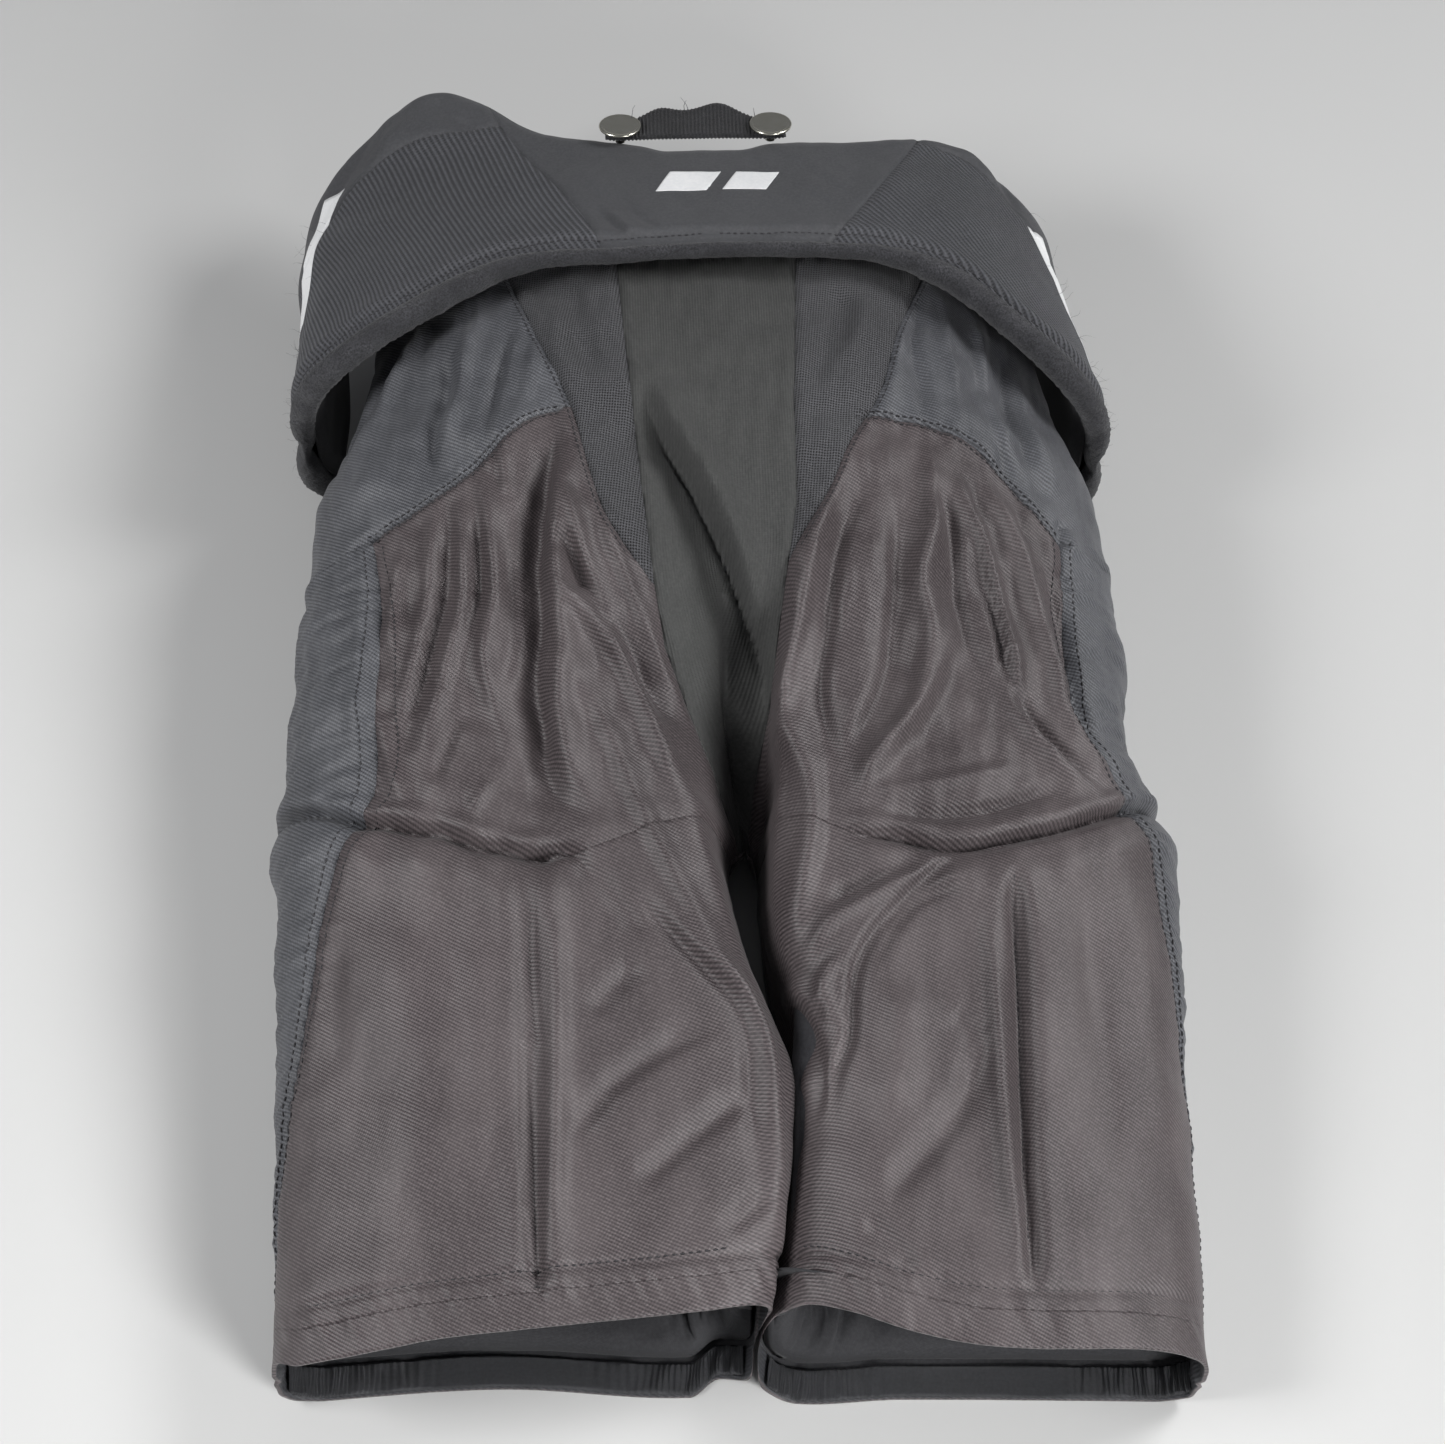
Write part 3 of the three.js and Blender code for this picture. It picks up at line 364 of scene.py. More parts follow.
# Folds: plan line, height, width on its left, width on its right.
FOLDS_LEFT = [
    ([(-56, 90), (-61, 62), (-65, 27), (-64, 5), (-66, -14), (-63, -35), (-61, -54),
      (-50, -69)], -5.5, 2.2, 7),
    ([(-52, 84), (-56, 60), (-58, 27), (-57, 0), (-58, -25), (-54, -50), (-44, -66)], 5.0, 7, 2.8),
    ([(-57, 40), (-51, 27), (-50, 14)], -3.5, 3.5, 3.5),
    ([(-62, 24), (-50, 12), (-35, -8), (-24, -35), (-15, -58)], 3.2, 4.0, 3.0),
    ([(-53, 58), (-47, 28), (-38, 5), (-29, -17)], 3.2, 3.0, 2.4),
    ([(-52, 33), (-40, 9), (-28, -12), (-17, -30)], -3.0, 3.2, 2.4),
    ([(-57, 7), (-43, -30), (-26, -72), (-13, -103), (-3, -132), (1, -162)], 2.4, 4.5, 3.2),
    ([(-49, -84), (-40, -96), (-30, -112)], -1.5, 4, 3),
    ([(-70, -84), (-58, -79), (-50, -84), (-49, -92)], -2, 2, 2),
    ([(-42, 50), (-34, 26), (-24, 2), (-14, -22)], 2.2, 3.2, 2.6),
    ([(-103, 58), (-103, 32), (-108, 2), (-116, -30)], 2.2, 3.2, 2.4),
    ([(-92, 60), (-91, 25), (-95, 3), (-103, -25), (-109, -46)], 2.8, 3.4, 2.4),
    ([(-85, 70), (-82, 46), (-80, 19), (-84, -1), (-83, -16), (-76, -40)], 2.6, 3.2, 2.4),
    ([(-77, 78), (-75, 56)], 1.5, 2.2, 2.2), ([(-114, 42), (-118, 24), (-120, 0)], 1.6, 3.0, 2.2),
    ([(-128, 30), (-130, 0), (-131, -35)], 1.4, 3.4, 2.4),
    ([(-97, 58), (-98, 26), (-102, 6), (-110, -22), (-115, -40)], -2.6, 2.0, 2.6),
    ([(-87, 52), (-87, 19), (-90, 2)], -2.2, 1.8, 2.4), ([(-76, 40), (-74, 8), (-77, -20)], -1.8, 2.2, 2.6),
    ([(-91, -23), (-98, -41), (-103, -54)], -1.6, 1.6, 2.0), ([(-82, -52), (-90, -66)], 1.4, 2.2, 2.0),
    ([(-124, -20), (-118, -45), (-112, -62)], 1.6, 3.0, 2.4),
]
FOLDS_RIGHT = [
    ([(50, 67), (37, 34), (31, 8), (24, -20), (30, -50), (32, -64)], 3.6, 3.0, 4.5),
    ([(58, 62), (46, 32), (40, 4), (36, -24), (42, -50)], -3.0, 3.0, 3.6),
    ([(82, 78), (80, 40), (75, 20), (77, 0), (73, -20), (66, -34), (54, -47), (44, -60)], 4.6, 5.0, 3.4),
    ([(69, 58), (66, 20), (60, -17), (46, -46)], -3.0, 4.2, 3.2),
    ([(88, 72), (99, 32), (106, -4), (109, -30), (120, -46), (132, -57), (142, -62)], 4.2, 2.6, 4.4),
    ([(93, 50), (101, 9), (108, -24), (124, -46), (139, -60)], -4.2, 2.4, 3.0),
    ([(99, 70), (113, 34), (121, -2), (126, -28), (137, -47)], 3.4, 2.6, 3.6),
    ([(82, 62), (88, 36), (89, 8), (95, -18)], -2.6, 2.2, 3.0),
    ([(121, 40), (128, 6), (132, -24), (142, -44)], -1.8, 2.2, 2.4),
    ([(54, -66), (73, -69), (91, -68), (109, -63), (124, -58)], -3.2, 2.4, 2.6),
    ([(48, -60), (66, -60), (88, -56), (108, -52)], 1.8, 3.4, 2.4),
    ([(98, 20), (99, 0), (101, -16)], 1.6, 1.8, 1.8),
    ([(24, -14), (30, -34), (33, -62), (30, -84), (24, -105), (20, -119)], 2.8, 3.2, 6),
    ([(72, -87), (50, -94), (33, -101)], -2.8, 3, 5),
    ([(16, -119), (24, -134), (28, -127), (39, -117)], 1.6, 2.4, 2.4),
    ([(80, 12), (82, -6), (74, -26), (56, -48), (45, -67)], 2.0, 4, 3),
]
FOLDS_BLOCK_LEFT = [
    ([(-32, -119), (-49, -139)], -1.6, 2.6, 4), ([(-12, -141), (-40, -161), (-58, -184)], -2.2, 2.6, 5),
    ([(-3, -165), (-27, -189), (-37, -200)], -2.2, 2.6, 4.5), ([(2, -199), (-13, -216)], -1.4, 2.2, 3.5),
    ([(-30, -86), (-15, -112), (-3, -132), (1, -153), (2, -183), (0, -222)], 2.6, 3.2, 2.6),
    ([(-38, -88), (-25, -105), (-11, -124), (-4, -136), (-3, -160), (-4, -190)], -1.8, 1.8, 2.4),
    ([(-60, -88), (-60, -127), (-61, -158), (-64, -228)], 2.0, 3.2, 3.0),
    ([(-120, -95), (-112, -130), (-108, -175), (-112, -215)], 2.4, 14, 14),
    ([(-138, -100), (-136, -160)], -1.2, 5, 6), ([(-90, -95), (-86, -140), (-88, -200)], 1.4, 8, 8),
]
FOLDS_BLOCK_RIGHT = [
    ([(99, -84), (79, -87), (64, -98), (50, -111), (41, -123), (36, -135), (32, -149), (26, -160),
      (23, -178)], -2.6, 3.2, 1.8),
    ([(88, -95), (69, -100), (56, -112), (47, -126)], -1.5, 2.4, 2.4),
    ([(76, -86), (53, -97), (34, -108), (23, -120)], 2.0, 2.6, 3.6),
    ([(29, -125), (27, -143)], 1.4, 2.2, 2.6),
    ([(14, -128), (20, -146), (21, -160), (18, -176)], -1.6, 2.4, 3),
    ([(86, -150), (79, -170), (67, -185), (52, -198), (43, -209)], -2.4, 5, 6),
    ([(75, -141), (85, -152)], -1.2, 4, 4), ([(33, -211), (45, -221), (55, -231)], -1.8, 3.5, 4),
    ([(91, -100), (91, -148), (91, -191), (93, -218), (95, -246)], 2.0, 3.0, 3.2),
    ([(60, -128), (52, -160), (44, -182)], 2.0, 9, 9), ([(116, -95), (112, -140), (109, -191)], 1.8, 9, 9),
    ([(140, -80), (146, -130), (146, -190)], 1.4, 7, 7), ([(124, -90), (128, -150), (128, -210)], -1.0, 5, 6),
]
FOLDS_SEAT = [
    ([(-26, 104), (-18, 83), (-8, 63), (1, 42), (9, 20), (17, 0), (20, -22)], -8.5, 1.1, 15),
    ([(-21, 104), (-13, 83), (-3, 63), (6, 42), (14, 20), (20, 4)], 4.2, 7, 1.8),
    ([(-24, 98), (-17, 81), (-8, 63), (1, 42), (9, 20), (17, 0), (20, -16)], -3, 1.0, 1.8),
    ([(-24, 100), (-20, 60), (-12, 20), (-2, -20)], 1.4, 6, 5), ([(2, -6), (8, -18), (16, -24)], -1.4, 3, 3),
    ([(53, 156), (52, 134), (44, 112), (35, 98)], -2.2, 5, 4), ([(62, 150), (60, 130), (50, 110)], 1.4, 5, 4),
    ([(-50, 160), (-47, 130), (-40, 105)], -1.8, 4, 6), ([(-58, 150), (-55, 122), (-46, 96)], 1.2, 4, 4),
]
FOLDS_YOKE = [
    ([(-96, 132), (-101, 101), (-104, 86), (-105, 68)], -2.4, 2.2, 3.4),
    ([(-73, 138), (-79, 110), (-84, 80)], -2.0, 1.8, 3), ([(-87, 146), (-92, 112), (-99, 80)], 2.0, 3.2, 3),
    ([(-110, 152), (-124, 118), (-136, 86)], 2.0, 4, 3.2),
    ([(-118, 150), (-133, 120), (-142, 96)], -1.8, 2.4, 3), ([(-64, 128), (-66, 108), (-72, 90)], 1.2, 3, 3),
    ([(87, 154), (80, 128), (82, 90)], -1.8, 3, 3),
    ([(107, 154), (107, 127), (107, 98), (113, 70)], 2.2, 3.4, 3.4),
    ([(104, 128), (108, 84), (117, 58)], -1.8, 2.4, 3), ([(96, 150), (93, 125), (95, 95)], 1.2, 3, 3),
    ([(124, 128), (124, 95), (130, 60)], 1.8, 4, 3), ([(117, 132), (116, 100), (122, 66)], -1.4, 2.4, 3),
]
FOLD_GAIN = 1.45
ALL_FOLDS = {RIGHT: FOLDS_RIGHT + FOLDS_BLOCK_RIGHT, LEFT: FOLDS_LEFT + FOLDS_BLOCK_LEFT}


# The soft thigh hangs over the block from here outwards, and hardly on the leg's inner side.
OVERHANG_START, OVERHANG_INSIDE, OVERHANG_Z = {RIGHT: (38, 60), LEFT: (46, 66)}, 0.07, (6, 30)
OVERHANG_DEPTH, OVERHANG_WIDTH = 6.2, 2.3
ON_TOP_Z = (30, 50)
BLOCK_START, BLOCK_END_Y, BLOCK_HEIGHT = (8, 22), (-241, -226), 1.4
CHANNEL_DEPTH, CHANNEL_WIDTH = 4.4, 2.4
HEM_SEAM_Y, HEM_BAND = -231, 8
# The hips are held in under the guard's wings: how far, and between which heights, from which x.
HELD_IN, HELD_FROM_Y, HELD_TO_Y, HELD_X = 3.5, (84, 112), (170, 195), (92, 112)
SIDE_SEAM_X, SIDE_SEAM_END_Y, RUCHE_PITCH = (100, 118), 52, 6.5
LOW_HEM_Y, LOW_HEM_Z = (226, 238), (0, 8)


def bump_at(distance, height, width):
    """A rounded ridge over the place where distance is 0."""
    return height * np.exp(-((distance / width) ** 2))


def groove(distance, depth, width):
    return -bump_at(distance, depth, width)


def line_of(curve, ends, steps=40, by_y=True):
    """A plan line along a curve, whose variable is y, or x."""
    at = np.linspace(*ends, steps)
    return np.stack([curve(at), at] if by_y else [at, curve(at)], axis=1)


def seam_lines(side):
    """The sewn seams on top, as plan lines."""
    return [
        line_of(STRETCH[side], (-54, 200)), line_of(GUSSET[side], (30, 200)),
        line_of(YOKE[side], (side * 56, side * 132), by_y=False),
    ]


def shell_relief(side, p):
    """How far each point of the shell stands out: folds, padding, seams and puckers."""
    x, y, z = p[..., 0], p[..., 1], p[..., 2]
    top = smoothstep(z, *ON_TOP_Z)
    out = np.zeros(np.shape(x))
    for line, height, left, right in ALL_FOLDS[side] + FOLDS_SEAT + FOLDS_YOKE:
        out += FOLD_GAIN * fold(x, y, line, height, left, right)
    out *= top
    # the stiff block bulges under the seam, and the soft thigh hangs over it
    below = y - CROSS[side](x)
    on_leg = smoothstep(np.where(z < 45, OVERHANG_START[side][1], side * x), *OVERHANG_START[side])
    over = smoothstep(z, *OVERHANG_Z) * between((OVERHANG_INSIDE, 1), on_leg)
    ripple = waves(x, y * 0.4, 13, 11)
    out += over * groove(below + 0.6 * ripple, OVERHANG_DEPTH, OVERHANG_WIDTH)
    out += over * bump_at(below + 12, 3.4 + 0.5 * ripple, 9)
    out += over * bump_at(below - 5, 2.2 + 0.7 * ripple, 4)
    # pads of the block, with a sewn channel between them
    block = smoothstep(-below, *BLOCK_START) * smoothstep(y, *BLOCK_END_Y)
    channel = x - CHANNEL[side](y)
    sewn = groove(channel, CHANNEL_DEPTH, CHANNEL_WIDTH)
    out += top * block * (BLOCK_HEIGHT + sewn + bump_at(np.abs(channel) - 7, 1.1, 4))
    # hem: a stitched band with puckers
    above_hem = y - (HEM_SEAM_Y - BACK_HEM(x) * on_hem(y))
    puckers = waves(x + 0.6 * y, y * 0.3, 6, 5)
    out += top * (groove(above_hem, 1.6, 1.6) + 0.5 * puckers * bump_at(above_hem + HEM_BAND, 1, HEM_BAND))
    held = HELD_IN * smoothstep(y, *HELD_FROM_Y) * (1 - smoothstep(y, *HELD_TO_Y))
    out -= held * smoothstep(np.abs(x), *HELD_X)
    # seams
    for line in seam_lines(side):
        d, _, _ = away(x, y, line)
        out += top * (groove(d, 1.1, 1.0) + bump_at(d - 3, 0.35 + 0.45 * puckers, 2.4))
    side_seam = z - SIDE[side](y)
    outer = smoothstep(np.abs(x), *SIDE_SEAM_X) * (y < SIDE_SEAM_END_Y)
    gathers = np.sin(y * 2 * np.pi / RUCHE_PITCH + 2.6 * waves(y, z, 18, 3))
    ruche = gathers * bump_at(side_seam + 3, 1, 6)
    out += outer * (groove(side_seam, 1.8, 1.4) + 0.32 * (1 + 0.6 * waves(y, z, 25, 4)) * ruche)
    out += outer * 0.5 * waves(y * 1.6, z * 0.5, 11, 9) * smoothstep(-side_seam, 0, 6)
    # soft cloth is never quite even
    soft = smoothstep(below, -4, 14)
    out += (0.5 + 0.5 * soft) * waves(x, y, 34, 21) + 0.22 * (0.5 + soft) * waves(x, y, 11, 31)
    out += 0.16 * top * (0.2 + soft) * waves(1.6 * x, 0.35 * y, 9, 33)
    low_hem = (1 - top) * smoothstep(-y, *LOW_HEM_Y) * smoothstep(20 - z, *LOW_HEM_Z)
    out += 0.7 * low_hem * waves(x, 0.4 * y, 8, 34)
    return out * smoothstep(z, -1, 8)


# ---------------------------------------------------------------- meshes cut along their seams

class Cloth:
    """A triangle mesh over (y, share), which can be cut along the zero line of any function of its points."""

    def __init__(self, y, share, triangles):
        self.y, self.share, self.triangles = y, share, triangles

    def cut(self, values):
        """Splits the triangles that the zero line of values, one per vertex, passes through."""
        values = np.where(np.abs(values) < 0.05, 0, values)
        sign = np.sign(values).astype(int)
        tri = self.triangles
        s = sign[tri]
        crossed = (s.max(1) > 0) & (s.min(1) < 0)
        keep, work = tri[~crossed], tri[crossed]
        if not len(work):
            return
        edges = np.sort(np.concatenate([work[:, (0, 1)], work[:, (1, 2)], work[:, (2, 0)]]), axis=1)
        edges = edges[sign[edges[:, 0]] * sign[edges[:, 1]] < 0]
        edges = np.unique(edges, axis=0)
        a, b = edges[:, 0], edges[:, 1]
        t = values[a] / (values[a] - values[b])
        first = len(self.y)
        self.y = np.concatenate([self.y, self.y[a] + (self.y[b] - self.y[a]) * t])
        self.share = np.concatenate([self.share, self.share[a] + (self.share[b] - self.share[a]) * t])
        found = {(int(i), int(j)): first + n for n, (i, j) in enumerate(edges)}
        made = []
        for corners in work.tolist():
            ring = []
            for i, j in zip(corners, corners[1:] + corners[:1]):
                ring.append(i)
                new = found.get((min(i, j), max(i, j)))
                if new is not None:
                    ring.append(new)
            start = next((n for n, v in enumerate(ring) if v >= first), 0)
            ring = ring[start:] + ring[:start]
            made += self.fan(ring, first, sign)
        self.triangles = np.concatenate([keep, np.array(made, int)])

    @staticmethod
    def fan(ring, first, sign):
        """Triangles of the parts of one cut triangle, whose ring starts at a new vertex."""
        new = [n for n, v in enumerate(ring) if v >= first]
        if len(new) == 1:  # the line also passes through a corner
            corner = next(n for n, v in enumerate(ring) if v < first and sign[v] == 0)
            parts = [ring[: corner + 1], ring[corner:] + ring[:1]]
        else:
            parts = [ring[: new[1] + 1], ring[new[1]:] + ring[:1]]
        return [[part[0], part[k], part[k + 1]] for part in parts for k in range(1, len(part) - 1)]


def half_grid(rows, columns):
    """Rows from hem to waist, with evenly spaced points round each."""
    ys = np.linspace(HEM, WAIST, rows)
    fine = np.linspace(0, 1, 500)
    share = np.zeros((rows, columns))
    for r, y in enumerate(ys):
        p = shell_point(RIGHT, np.full(len(fine), y), fine)
        passed = passed_along(p)
        share[r] = np.interp(np.linspace(0, passed[-1], columns), passed, fine)
    return Cloth(np.repeat(ys, columns), share.ravel(), grid_triangles(rows, columns))


def add_object(name, vertices, faces, material, weave=None, inner=None, inner_faces=None):
    """A smooth mesh object from millimetres, with its cloth coordinates and its inner face's material."""
    mesh = bpy.data.meshes.new(name)
    vertices = np.asarray(vertices, float) * MM
    mesh.from_pydata(vertices.tolist(), [], [list(map(int, f)) for f in faces])
    mesh.validate()
    mesh.materials.append(material)
    if inner is not None:
        mesh.materials.append(inner)
        mesh.polygons.foreach_set("material_index", np.asarray(inner_faces, np.int32))
    if weave is not None:
        layer = mesh.attributes.new("weave", "FLOAT_VECTOR", "POINT")
        layer.data.foreach_set("vector", np.asarray(weave, np.float32).ravel())
    mesh.polygons.foreach_set("use_smooth", np.ones(len(mesh.polygons), bool))
    mesh.update()
    piece = bpy.data.objects.new(name, mesh)
    bpy.context.scene.collection.objects.link(piece)
    return piece


def thick_piece(name, outer, normals, weave, triangles, material, inner, thickness=THICKNESS):
    """A sheet with thickness, from the used triangles of a larger mesh. Its open edges are closed."""
    used, flat = np.unique(triangles, return_inverse=True)
    tri = flat.reshape(-1, 3)
    top, n = outer[used], normals[used]
    count = len(used)
    vertices = np.concatenate([top, top - n * thickness])
    directed = np.concatenate([tri[:, (0, 1)], tri[:, (1, 2)], tri[:, (2, 0)]])
    keys = directed[:, 0] * (count + 1) + directed[:, 1]
    back = directed[:, 1] * (count + 1) + directed[:, 0]
    rim = directed[~np.isin(keys, back)]
    walls = np.stack([rim[:, 1], rim[:, 0], rim[:, 0] + count, rim[:, 1] + count], axis=1)
    faces = tri.tolist() + (tri[:, ::-1] + count).tolist() + walls.tolist()
    slots = [0] * len(tri) + [1] * len(tri) + [0] * len(walls)
    return add_object(name, vertices, faces, material, np.tile(weave[used], (2, 1)), inner, slots)


def settle(piece, body, replaced=None):
    """Parents the piece to the body it rides on, or for a leg only bakes its place into its mesh, and hides
    the frame's part that it replaces.
    """
    if body in (RIGHT, LEFT):
        start, end = ((body * LEG_X * MM, y * MM, 0) for y in (BLEND_ABOVE, BLEND_BELOW))
        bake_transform(piece)
        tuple(start)
        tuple(end)
    else:
        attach(piece, body)
    if replaced:
        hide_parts(replaced)


# ---------------------------------------------------------------- materials

class Shader:
    """Builds one procedural material: small helpers round a Principled shader."""

    def __init__(self, name, roughness, sheen=0.0, sheen_roughness=0.5, metallic=0.0, specular=0.5):
        self.material = bpy.data.materials.new(name)
        self.material.use_nodes = True
        self.tree = self.material.node_tree
        self.bsdf = self.tree.nodes["Principled BSDF"]
        for key, value in (("Roughness", roughness), ("Sheen Weight", sheen), ("Metallic", metallic),
                           ("Sheen Roughness", sheen_roughness), ("Specular IOR Level", specular)):
            self.bsdf.inputs[key].default_value = value

    def node(self, kind, **settings):
        made = self.tree.nodes.new(kind)
        for key, value in settings.items():
            setattr(made, key, value)
        return made

    def put(self, socket, value):
        if isinstance(value, bpy.types.NodeSocket):
            self.tree.links.new(value, socket)
        else:
            socket.default_value = value

    def math(self, operation, *values):
        made = self.node("ShaderNodeMath", operation=operation)
        for socket, value in zip(made.inputs, values):
            self.put(socket, value)
        return made.outputs[0]

    # short names for the commonest sums
    def plus(self, one, other):
        return self.math("ADD", one, other)

    def times(self, one, other):
        return self.math("MULTIPLY", one, other)

    def rest(self, value):
        return self.math("SUBTRACT", 1.0, value)

    def weave(self):
        """The two cloth coordinates in millimetres: round the body, and along it."""
        attribute = self.node("ShaderNodeAttribute", attribute_name="weave")
        split = self.node("ShaderNodeSeparateXYZ")
        self.put(split.inputs[0], attribute.outputs["Vector"])
        return split.outputs[0], split.outputs[1], attribute.outputs["Vector"]

    def wave(self, u, v, angle, pitch):
        """A sine of -1 to 1 with that pitch in millimetres across lines at that angle in degrees."""
        k = 2 * math.pi / pitch
        turned = math.radians(angle)
        across = self.plus(self.times(u, k * math.cos(turned)), self.times(v, k * math.sin(turned)))
        return self.math("SINE", across)

    def noise(self, vector, scale, detail=3.0, stretch=(1, 1, 1)):
        mapping = self.node("ShaderNodeMapping")
        self.put(mapping.inputs["Vector"], vector)
        mapping.inputs["Scale"].default_value = stretch
        made = self.node("ShaderNodeTexNoise")
        self.put(made.inputs["Vector"], mapping.outputs[0])
        made.inputs["Scale"].default_value = scale
        made.inputs["Detail"].default_value = detail
        return made.outputs["Fac"]

    def place(self):
        return self.node("ShaderNodeTexCoord").outputs["Object"]

    def mix(self, share, low, high):
        made = self.node("ShaderNodeMix", data_type="RGBA")
        self.put(made.inputs[0], share)
        for socket, value in ((made.inputs[6], low), (made.inputs[7], high)):
            self.put(socket, value if isinstance(value, bpy.types.NodeSocket) else (*value, 1))
        return made.outputs[2]

    def ramp(self, value, low, high):
        made = self.node("ShaderNodeMapRange")
        for socket, v in zip(made.inputs, (value, low, high, 0.0, 1.0)):
            self.put(socket, v)
        return made.outputs[0]

    def colour(self, value):
        self.put(self.bsdf.inputs["Base Color"], value)

    def rough(self, value):
        self.put(self.bsdf.inputs["Roughness"], value)

    def bump(self, height, distance):
        made = self.node("ShaderNodeBump")
        made.inputs["Distance"].default_value = distance * MM
        made.inputs["Strength"].default_value = 1.0
        self.put(made.inputs["Height"], height)
        self.put(self.bsdf.inputs["Normal"], made.outputs[0])


def darker(colour, share):
    return tuple(share * c for c in colour)


def cloudy(s, base, deep, pale):
    """Colour that drifts between three tones over centimetres, with fine speckle."""
    drift = s.ramp(s.noise(s.place(), 14.0, 4.0), 0.3, 0.7)
    speckle = s.ramp(s.noise(s.place(), 900.0, 2.0), 0.35, 0.75)
    return s.mix(s.times(speckle, 0.42), s.mix(drift, deep, base), pale)


def twill(name, base, deep, pale, angle=62, pitch=1.15, roughness=0.6, sheen=0.25, depth=0.10, contrast=0.5):
    """Woven nylon: slanting ribs crossed by finer yarns, with paler streaks along the cloth that are painted
    sheen.
    """
    s = Shader(name, roughness, sheen, 0.45)
    u, v, cloth = s.weave()
    rib = s.wave(u, v, angle, pitch)
    yarn = s.wave(u, v, angle + 90, pitch * 0.8)
    line = s.ramp(s.plus(rib, s.times(yarn, 0.35)), -1.2, 1.2)
    # painted sheen: paler streaks stretched along the cloth
    sheen_and_wear = s.ramp(s.noise(cloth, 0.045, 5.0, (1, 0.35, 1)), 0.45, 0.75)
    tone = cloudy(s, base, deep, pale)
    shade = s.times(s.rest(line), contrast)
    tone = s.mix(shade, tone, darker(deep, 0.35))
    s.colour(s.mix(s.times(sheen_and_wear, 0.22), tone, pale))
    s.rough(s.plus(s.times(s.noise(s.place(), 60.0), 0.16), roughness - 0.08))
    s.bump(s.plus(line, s.times(s.noise(cloth, 0.9), 0.5)), depth)
    return s.material


def ribbed_knit(name, base, deep, pale, pitch=1.05):
    """Stretch knit: upright ribs with fine stitches."""
    s = Shader(name, 0.7, 0.1, 0.6, specular=0.3)
    u, v, _ = s.weave()
    rib = s.ramp(s.wave(u, v, 0, pitch), -1, 1)
    stitch = s.ramp(s.wave(u, v, 90, 0.8), -1, 1)
    # the ribs open at the top of the panel, where it is stretched
    strong = s.plus(s.times(s.ramp(v, 60.0, 165.0), 0.45), 0.14)
    shade = s.times(s.rest(rib), strong)
    tone = s.mix(shade, cloudy(s, base, deep, pale), darker(deep, 0.25))
    s.colour(tone)
    s.bump(s.plus(rib, s.times(stitch, 0.25)), 0.12)
    return s.material


def holed_mesh(name, base, deep, pale, pitch=1.5, angle=38):
    """Knitted mesh: a lattice of small dark holes."""
    s = Shader(name, 0.8, 0.08, 0.6, specular=0.3)
    u, v, _ = s.weave()
    one, two = s.wave(u, v, angle, pitch), s.wave(u, v, angle + 90, pitch)
    thread = s.ramp(s.times(one, two), -0.1, 0.55)
    hole = s.rest(thread)
    tone = s.mix(s.times(thread, 0.95), cloudy(s, base, deep, pale), darker(deep, 0.08))
    s.colour(tone)
    s.bump(hole, 0.25)
    return s.material


def slant_mesh(name, base, deep, pale, pitch=2.1, angle=28):
    """The guard's wings: slanting ribs with rows of small holes between them."""
    s = Shader(name, 0.7, 0.08, 0.6, specular=0.35)
    u, v, _ = s.weave()
    rib = s.ramp(s.wave(u, v, angle, pitch), -0.8, 0.8)
    hole = s.ramp(s.wave(u, v, angle + 90, 1.3), -0.4, 0.9)
    dark = s.times(s.rest(rib), s.plus(0.55, s.times(hole, 0.45)))
    s.colour(s.mix(s.times(dark, 0.9), cloudy(s, base, deep, pale), darker(deep, 0.1)))
    s.bump(rib, 0.45)
    return s.material


def smooth_cloth(name, base, deep, pale, roughness=0.62):
    """Fine even cloth, with a hardly visible grid of threads."""
    s = Shader(name, roughness, 0.08, 0.5, specular=0.35)
    u, v, _ = s.weave()
    fine = s.ramp(s.times(s.wave(u, v, 0, 0.7), s.wave(u, v, 90, 0.7)), -1, 1)
    s.colour(s.mix(s.times(fine, 0.25), cloudy(s, base, deep, pale), darker(deep, 0.5)))
    s.bump(s.plus(fine, s.times(s.noise(s.place(), 500.0), 0.8)), 0.05)
    return s.material


def fuzzy(name, base, deep, pale):
    """Brushed or felted cloth, rough and without ribs."""
    s = Shader(name, 0.95, 0.15, 0.7, specular=0.2)
    grain = s.noise(s.place(), 1400.0, 5.0)
    light = s.mix(s.ramp(s.noise(s.place(), 90.0), 0.3, 0.7), base, pale)
    s.colour(s.mix(s.ramp(grain, 0.35, 0.7), deep, light))
    s.bump(grain, 0.5)
    return s.material


def plain(name, base, roughness, metallic=0.0, grain=0.03, sheen_and_wear=None, scale=700.0):
    """Moulded plastic, metal or print: a little grain, and paler where it is worn."""
    s = Shader(name, roughness, 0, 0.5, metallic)
    speck = s.noise(s.place(), scale, 4.0)
    pale = sheen_and_wear or tuple(min(1, c * 1.25 + 0.01) for c in base)
    s.colour(s.mix(s.ramp(speck, 0.3, 0.75), base, pale))
    s.bump(speck, grain)
    return s.material


